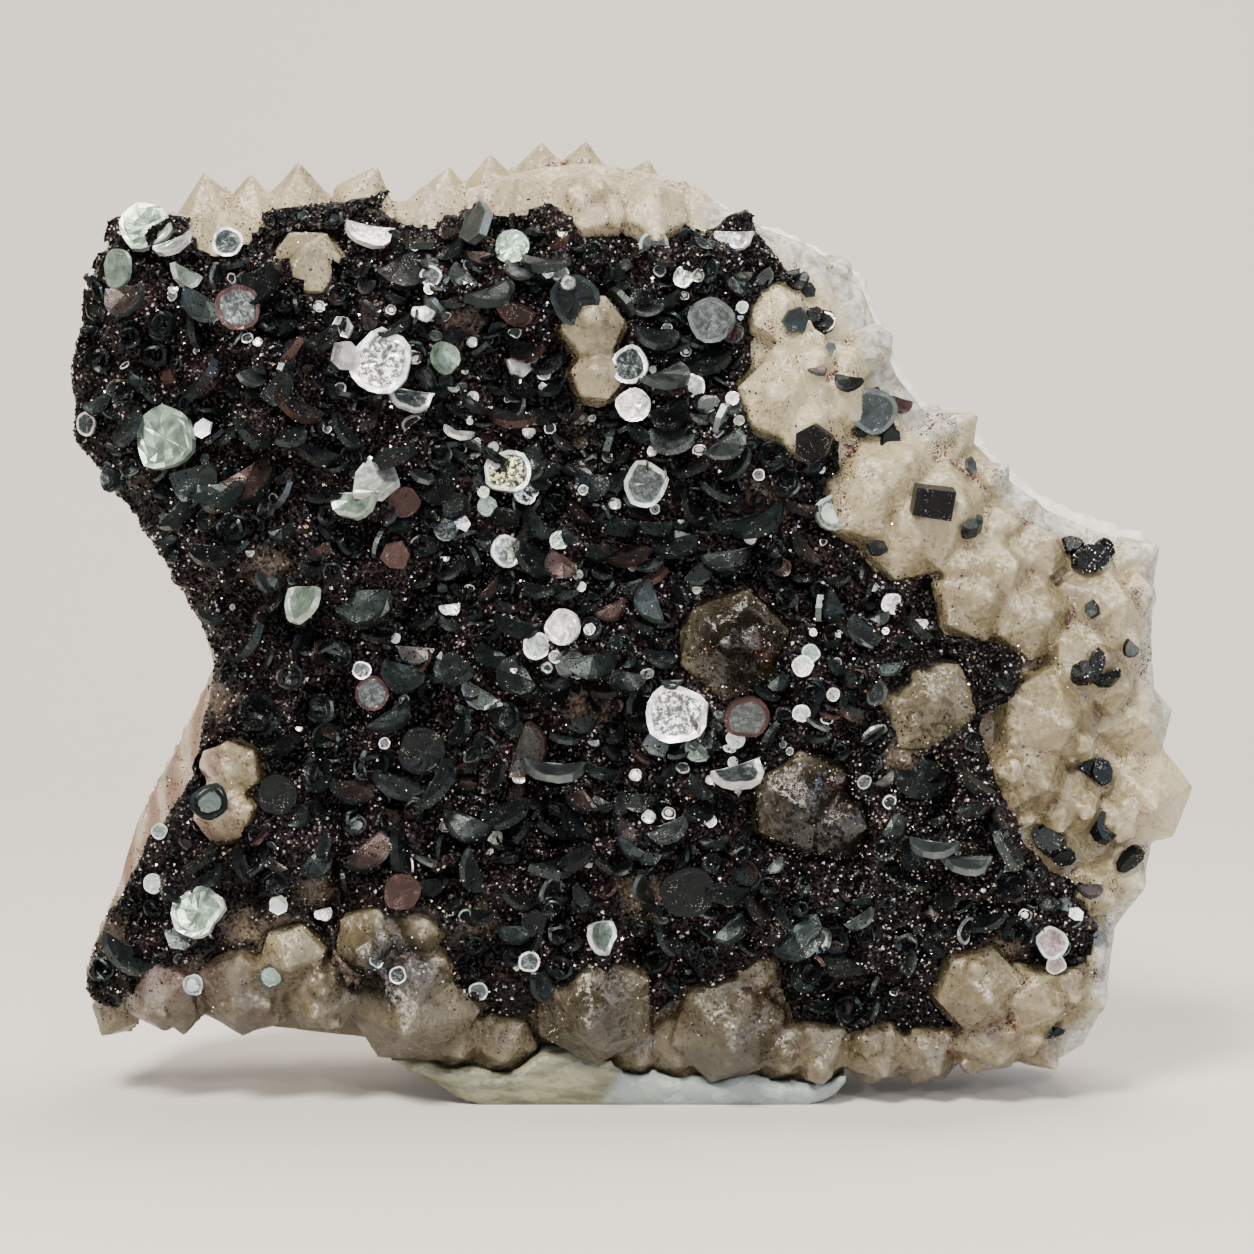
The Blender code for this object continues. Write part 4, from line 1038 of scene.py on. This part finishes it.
rosette_rows = []
for _ in range(TRIES):
    if len(rosette_rows) == PETALS:
        break
    low, high = PETAL_SIZE
    diameter = low + (high - low) * chance.random() ** 1.5
    x, z, (place, outward) = crust_spot(0.5 * diameter)
    if clear(x, z, 0.5 * diameter, PETAL_SPACING):
        lean = Vector((chance.gauss(0, 0.6), -chance.uniform(0.3, 1.1), chance.gauss(0.6, 0.45)))
        axis = lean.normalized()
        spot = place + Vector((0, -0.12, 0)) * diameter * MM
        hanging = Vector((chance.gauss(0, 0.7), -0.7, -0.6))
        rosette_rows.append(dark_plate("petal", spot, axis, hanging, diameter * MM))
        plate_places.append((x, z, 0.4 * diameter))
rosettes_made = 0
for _ in range(TRIES):
    if rosettes_made == ROSETTES:
        break
    radius = chance.uniform(*ROSETTE_RADIUS)
    x, z, (place, outward) = crust_spot(0.9 * radius)
    if clear(x, z, radius, ROSETTE_SPACING):
        rosettes_made += 1
        plate_places.append((x, z, 0.8 * radius))
        upright = (outward + Vector((0, -0.6, 0))).normalized()
        side = upright.orthogonal().normalized()
        petals = chance.randint(*ROSETTE_PETALS)
        first = chance.uniform(0, math.tau)
        for number in range(petals):
            turn = first + math.tau * number / petals + chance.uniform(-0.3, 0.3)
            around = Matrix.Rotation(turn, 3, upright) @ side
            offset = around * chance.uniform(0.35, 0.7) + upright * chance.uniform(0.0, 0.5)
            spot = place + offset * radius * MM
            axis = (upright * chance.uniform(0.2, 0.9) - around * chance.uniform(0.6, 1.0)).normalized()
            diameter = chance.uniform(0.8, 1.25) * radius * MM
            kind = chance.choice(("petal", "petal", "cup"))
            rosette_rows.append(dark_plate(kind, spot, axis, upright, diameter))
for _ in range(SINGLE_PLATES):
    low, high = SINGLE_SIZE
    diameter = low + (high - low) * chance.random() ** 2
    x, z, (place, outward) = crust_spot(0.5 * diameter)
    sideways = Vector((chance.gauss(0, 1), chance.gauss(0, 0.45), chance.gauss(0, 1) + 0.5)).normalized()
    axis = (sideways + outward * chance.choice((0.1, 0.5, 1.5))).normalized()
    stand = 0.1 + 0.26 * (1 - abs(axis.dot(outward)))
    if clear(x, z, 0.0, SINGLE_SPACING):
        spot = place + outward * diameter * MM * stand
        kind = chance.choice(SINGLE_KINDS)
        looks = (SINGLE_COLOURS, SINGLE_RIMS)
        rosette_rows.append(dark_plate(kind, spot, axis, outward, diameter * MM, *looks))
for _ in range(BRIGHT_PLATES):
    diameter = chance.uniform(*BRIGHT_SIZE)
    x, z, (place, outward) = crust_spot(0.5 * diameter)
    axis = Vector((chance.gauss(0, 0.4), -1, chance.gauss(0.1, 0.35))).normalized()
    spot = place + Vector((0, -chance.uniform(0.2, 0.9), 0)) * MM
    # Their pale and bright colours are painted highlights.
    row = dark_plate(
        chance.choice(("disc", "disc", "cup", "crescent")), spot, axis, Vector((0, 0, -1)), diameter * MM,
        ["green_black", "grey", "pale", "bright"], ["bright", "bright", "pale"],
    )
    rosette_rows.append(row)
rosettes = object_of("hematite_rosettes", joined("hematite_rosettes", rosette_rows), metal)
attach(rosettes, "root")

# Grains: hematite crystals under half a millimetre that cover the ground between the plates and glitter,
# most of them black; the pale ones are painted glints, and those in the crust's hollows get painted shade.
# They grew with the crust, and strays sit on the bare quartz near its edge.
GRAIN_SIZE = (0.15, 0.47)
DUST_SIZE = (0.08, 0.26)   # of those that sit on the rosettes
GRAINS_PER_PIECE = 18000
STRAY_SIZE = (0.07, 0.27)
STRAYS = 6500
STRAY_REACH = 0.8          # the strays thin out over this many millimetres from the crust
GRAIN_DUST = 4000.0        # dark dust on them, repeats per metre, 0.25 mm apart
# The mound at the lower right gets more pale grains: painted glints.
GLITTER_AT = (24, 20, 9, 10)    # x, z, reach across and reach up of the mound where more are bright
GLITTER_SHARE = 0.4
GLITTER_COLOUR = "#C4BDB8"
# The pale colours are painted glints.
GRAIN_COLOURS = [          # with the share of each
    ("#0D0C0D", 0.50), ("#1D191A", 0.18), ("#2E2829", 0.06), ("#665A6C", 0.06), ("#B9B2AC", 0.12),
    ("#F6F3EE", 0.07), ("#A48C64", 0.01),
]


def surface_samples(mesh, count, seed, keep):
    """Random places over the mesh, by area times the weight keep(middles, normals) of each triangle."""
    mesh.calc_loop_triangles()
    corners = np.array([vert.co[:] for vert in mesh.vertices])
    triangles = np.array([tri.vertices[:] for tri in mesh.loop_triangles])
    a, b, c = (corners[triangles[:, i]] for i in range(3))
    cross = np.cross(b - a, c - a)
    area = np.linalg.norm(cross, axis=1)
    weight = area * keep((a + b + c) / 3, cross / np.maximum(area, 1e-20)[:, None])
    picker = np.random.default_rng(seed)
    chosen = picker.choice(len(triangles), count, p=weight / weight.sum())
    u, v = picker.random((2, count))
    flip = u + v > 1
    u[flip], v[flip] = 1 - u[flip], 1 - v[flip]
    return a[chosen] + u[:, None] * (b - a)[chosen] + v[:, None] * (c - a)[chosen]


grain_bm = bmesh.new()
bmesh.ops.create_uvsphere(grain_bm, u_segments=4, v_segments=2, radius=0.5)
grain_bm.verts.index_update()
grain_shape = np.array([vert.co[:] for vert in grain_bm.verts])
grain_sides = np.array([[vert.index for vert in side.verts] for side in grain_bm.faces])
grain_bm.free()


# More pale grains here are painted glints.
def glittering(place):
    """Where more of the grains are bright: 1 on the mound at the lower right, 0 away from it."""
    x, z = listed(place)
    cx, cz, reach, rise = GLITTER_AT
    return math.exp(-(((x - cx) / reach) ** 2) - ((z - cz) / rise) ** 2)


def grain_mesh(name, places, seed, size, shade=None):
    """An eight-sided crystal at every place, turned, stretched and coloured by chance.

    shade(place) darkens it with painted shade, from 0 to 1, and the mound at the lower right gets more pale
    grains as painted glints."""
    picker = np.random.default_rng(seed)
    count = len(places)
    w, x, y, z = picker.normal(size=(count, 4)).T
    length = np.sqrt(w * w + x * x + y * y + z * z)
    w, x, y, z = w / length, x / length, y / length, z / length
    turns = np.array([
        [1 - 2 * (y * y + z * z), 2 * (x * y - z * w), 2 * (x * z + y * w)],
        [2 * (x * y + z * w), 1 - 2 * (x * x + z * z), 2 * (y * z - x * w)],
        [2 * (x * z - y * w), 2 * (y * z + x * w), 1 - 2 * (x * x + y * y)],
    ]).transpose(2, 0, 1)
    widths = picker.uniform(*size, (count, 1)) * MM * picker.uniform(0.5, 1.1, (count, 3))
    vertices = np.einsum("nij,nkj->nki", turns, grain_shape * widths[:, None, :]) + places[:, None, :]
    faces = grain_sides + len(grain_shape) * np.arange(count)[:, None, None]
    mesh = bpy.data.meshes.new(name)
    mesh.from_pydata(vertices.reshape(-1, 3), [], faces.reshape(-1, 3))
    mesh.update()
    codes, shares = zip(*GRAIN_COLOURS)
    palette = np.array([linear(code)[:3] for code in codes])
    tones = palette[picker.choice(len(palette), count, p=shares)] * picker.uniform(0.7, 1.3, (count, 1))
    if shade:
        # Painted shade in the hollows, and painted glints on the mound at the lower right.
        tones *= (1 - 0.85 * np.array([shade(place) for place in places]))[:, None]
        bright = picker.random(count) < GLITTER_SHARE * np.array([glittering(place) for place in places])
        tones[bright] = linear(GLITTER_COLOUR)[:3]
    tinted(mesh, np.repeat(tones, len(grain_shape), axis=0))
    painted(mesh, "shine", np.repeat(picker.random(count), len(grain_shape)))
    return mesh


# Hematite, grown as tiny crystals: metallic points, a few of which catch the light at any moment.
glitter, tree, shader, coordinates = new_material("hematite_grains")
tint = add(tree, "Attribute", attribute_name="tint").outputs["Color"]
shine = add(tree, "Attribute", attribute_name="shine").outputs["Fac"]
dust = add(tree, "TexNoise", [(coordinates, "Vector")], Scale=GRAIN_DUST, Detail=2.0).outputs["Fac"]
dusted = mixed(tree, ranged(tree, dust, 0.5, 0.7, 0.0, 0.4), tint, linear("#1A1314"))
wire(tree, shader, Base_Color=dusted, Metallic=0.85, Roughness=ranged(tree, shine, 0.0, 1.0, 0.4, 0.12))


def forward(middles, normals):
    """1 for the triangles that face front or sideways, and 0 for those behind."""
    return normals[:, 1] < 0.1


def forward_and_crusted(middles, normals):
    """As forward, with few grains on the bare patches."""
    return forward(middles, normals) * (1 - 0.9 * np.array([bareness(place) for place in middles]))


for number, carrier in enumerate((crust_mesh, crust_mesh, rosettes.data)):
    name = f"hematite_grains_{number + 1}"
    places = surface_samples(carrier, GRAINS_PER_PIECE, 40 + number, forward_and_crusted)
    size = GRAIN_SIZE if carrier == crust_mesh else DUST_SIZE
    grains = object_of(name, grain_mesh(name, places, 50 + number, size, hollowness), glitter)
    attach(grains, "root")

crust_points = KDTree(len(crust_mesh.vertices))
for vert in crust_mesh.vertices:
    crust_points.insert(vert.co, vert.index)
crust_points.balance()
druse_points = KDTree(len(druse_mesh.vertices))
for vert in druse_mesh.vertices:
    druse_points.insert(vert.co, vert.index)
druse_points.balance()


def near_crust(middles, normals):
    """Thick at the crust's edge, thinner away from it, and thick in creases and on dark crystals."""
    weights = np.zeros(len(middles))
    for number in np.nonzero(normals[:, 1] < 0.2)[0]:
        distance = crust_points.find(middles[number])[2] / MM
        hidden = crust_ground.ray_cast(Vector(middles[number]), Vector((0, -1, 0)))[0]
        if distance < 5 * STRAY_REACH and not hidden:
            crease = druse_ridges[druse_points.find(middles[number])[1]] < -0.006
            dark = max(0.0, smoky(*listed(middles[number])) - 0.6)
            pale = pale_rim(*listed(middles[number]))
            near = math.exp(-distance / STRAY_REACH) * (1 - 0.7 * pale)
            weights[number] = near + (0.15 if crease else 0.0) + 0.9 * dark
    return weights


places = surface_samples(druse_mesh, STRAYS, 44, near_crust)
strays = object_of("hematite_strays", grain_mesh("hematite_strays", places, 54, STRAY_SIZE), glitter)
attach(strays, "root")

# Separate clusters: small tufts, blades and chips of hematite that grew on the bare quartz at the right,
# each a dark crystal group with cut corners. Fine grains dust the tufts.
CLUSTER_LOOKS = {          # colour, and grains per square millimetre of its box's front
    "hematite_rosette_upper": ("green_black", 2),
    "hematite_pair_upper": ("dark", 14),
    "hematite_tuft_right": ("dark", 40),
    "hematite_tuft_middle": ("dark", 12),
    "hematite_pair_lower": ("dark", 12),
    "hematite_wedge_lower": ("dark", 8),
    "hematite_blade_lower": ("dark", 4),
    "hematite_chip_edge": ("dark", 0),
    "hematite_chip_bottom": ("dark", 16),
    "hematite_chip_green": ("green_black", 2),
}
CLUSTER_BEVEL = 0.09 * MM
BLOCK_SIZE = (3.1, 2.3, 1.5)    # the black block's width, height and thickness
BLOCK_TURN = (5, -14)
BLOCK_ROLL = math.radians(-8)
GREY_DISC = (19.3, 56.5, 3.7)   # x, z and diameter of the grey disc in front of the upper rosette
DISC_TURN = (5, -8)
dusted_places = []
for node, (colour_name, dusting) in CLUSTER_LOOKS.items():
    mesh = cad_copy(node)
    bm = bmesh.new()
    bm.from_mesh(mesh)
    bmesh.ops.bevel(
        bm, geom=bm.edges, offset=CLUSTER_BEVEL, affect="EDGES", segments=1, profile=0.5, material=-1,
        clamp_overlap=True,
    )
    bm.to_mesh(mesh)
    bm.free()
    low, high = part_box(node)
    front = (high[0] - low[0]) * (high[2] - low[2]) / MM**2
    if dusting:
        dusted_places.append(surface_samples(mesh, int(dusting * front), 60, forward))
    tones = np.full((len(mesh.vertices), 3), colour(colour_name, chance, 0.05))
    tinted(mesh, tones)
    painted(mesh, "rim", np.ones(len(mesh.vertices)))
    painted(mesh, "shine", np.zeros(len(mesh.vertices)))
    piece = object_of(node + "_group", mesh, metal)
    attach(piece, "root")
    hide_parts(node)
lying = np.array(facing(*BLOCK_TURN) @ Matrix.Rotation(BLOCK_ROLL, 3, "Z"))
corner_out = np.array(Matrix.Rotation(math.pi / 4, 3, "Z"))
width, height, thickness = (size * MM for size in BLOCK_SIZE)
turned = lying @ np.diag((width * math.sqrt(2), height * math.sqrt(2), 2 * thickness)) @ corner_out
low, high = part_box("hematite_block_upper")
foot_of_block = (np.array(low) + np.array(high)) / 2 - lying[:, 2] * thickness / 2
looks = (colour("black", chance, 0.05), colour("dark", chance, 0.05), 0.0)
block_row = (form_numbers["block"][0], foot_of_block, turned, *looks)
block = object_of("hematite_block", joined("hematite_block", [block_row]), metal)
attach(block, "root")
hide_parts("hematite_block_upper")
disc_x, disc_z = at(*GREY_DISC[:2])
disc_place = np.array((disc_x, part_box("hematite_rosette_upper")[0][1], disc_z))
disc_lies = np.array(facing(*DISC_TURN)) * GREY_DISC[2] * MM
looks = (colour("slate", chance, 0.05), colour("grey", chance, 0.05), 0.15)
disc_row = (form_numbers["disc"][1], disc_place, disc_lies, *looks)
grey_disc = object_of("hematite_disc_upper", joined("hematite_disc_upper", [disc_row]), metal)
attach(grey_disc, "root")
dusting = grain_mesh("hematite_tuft_grains", np.concatenate(dusted_places), 61, STRAY_SIZE)
tuft_grains = object_of("hematite_tuft_grains", dusting, glitter)
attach(tuft_grains, "root")
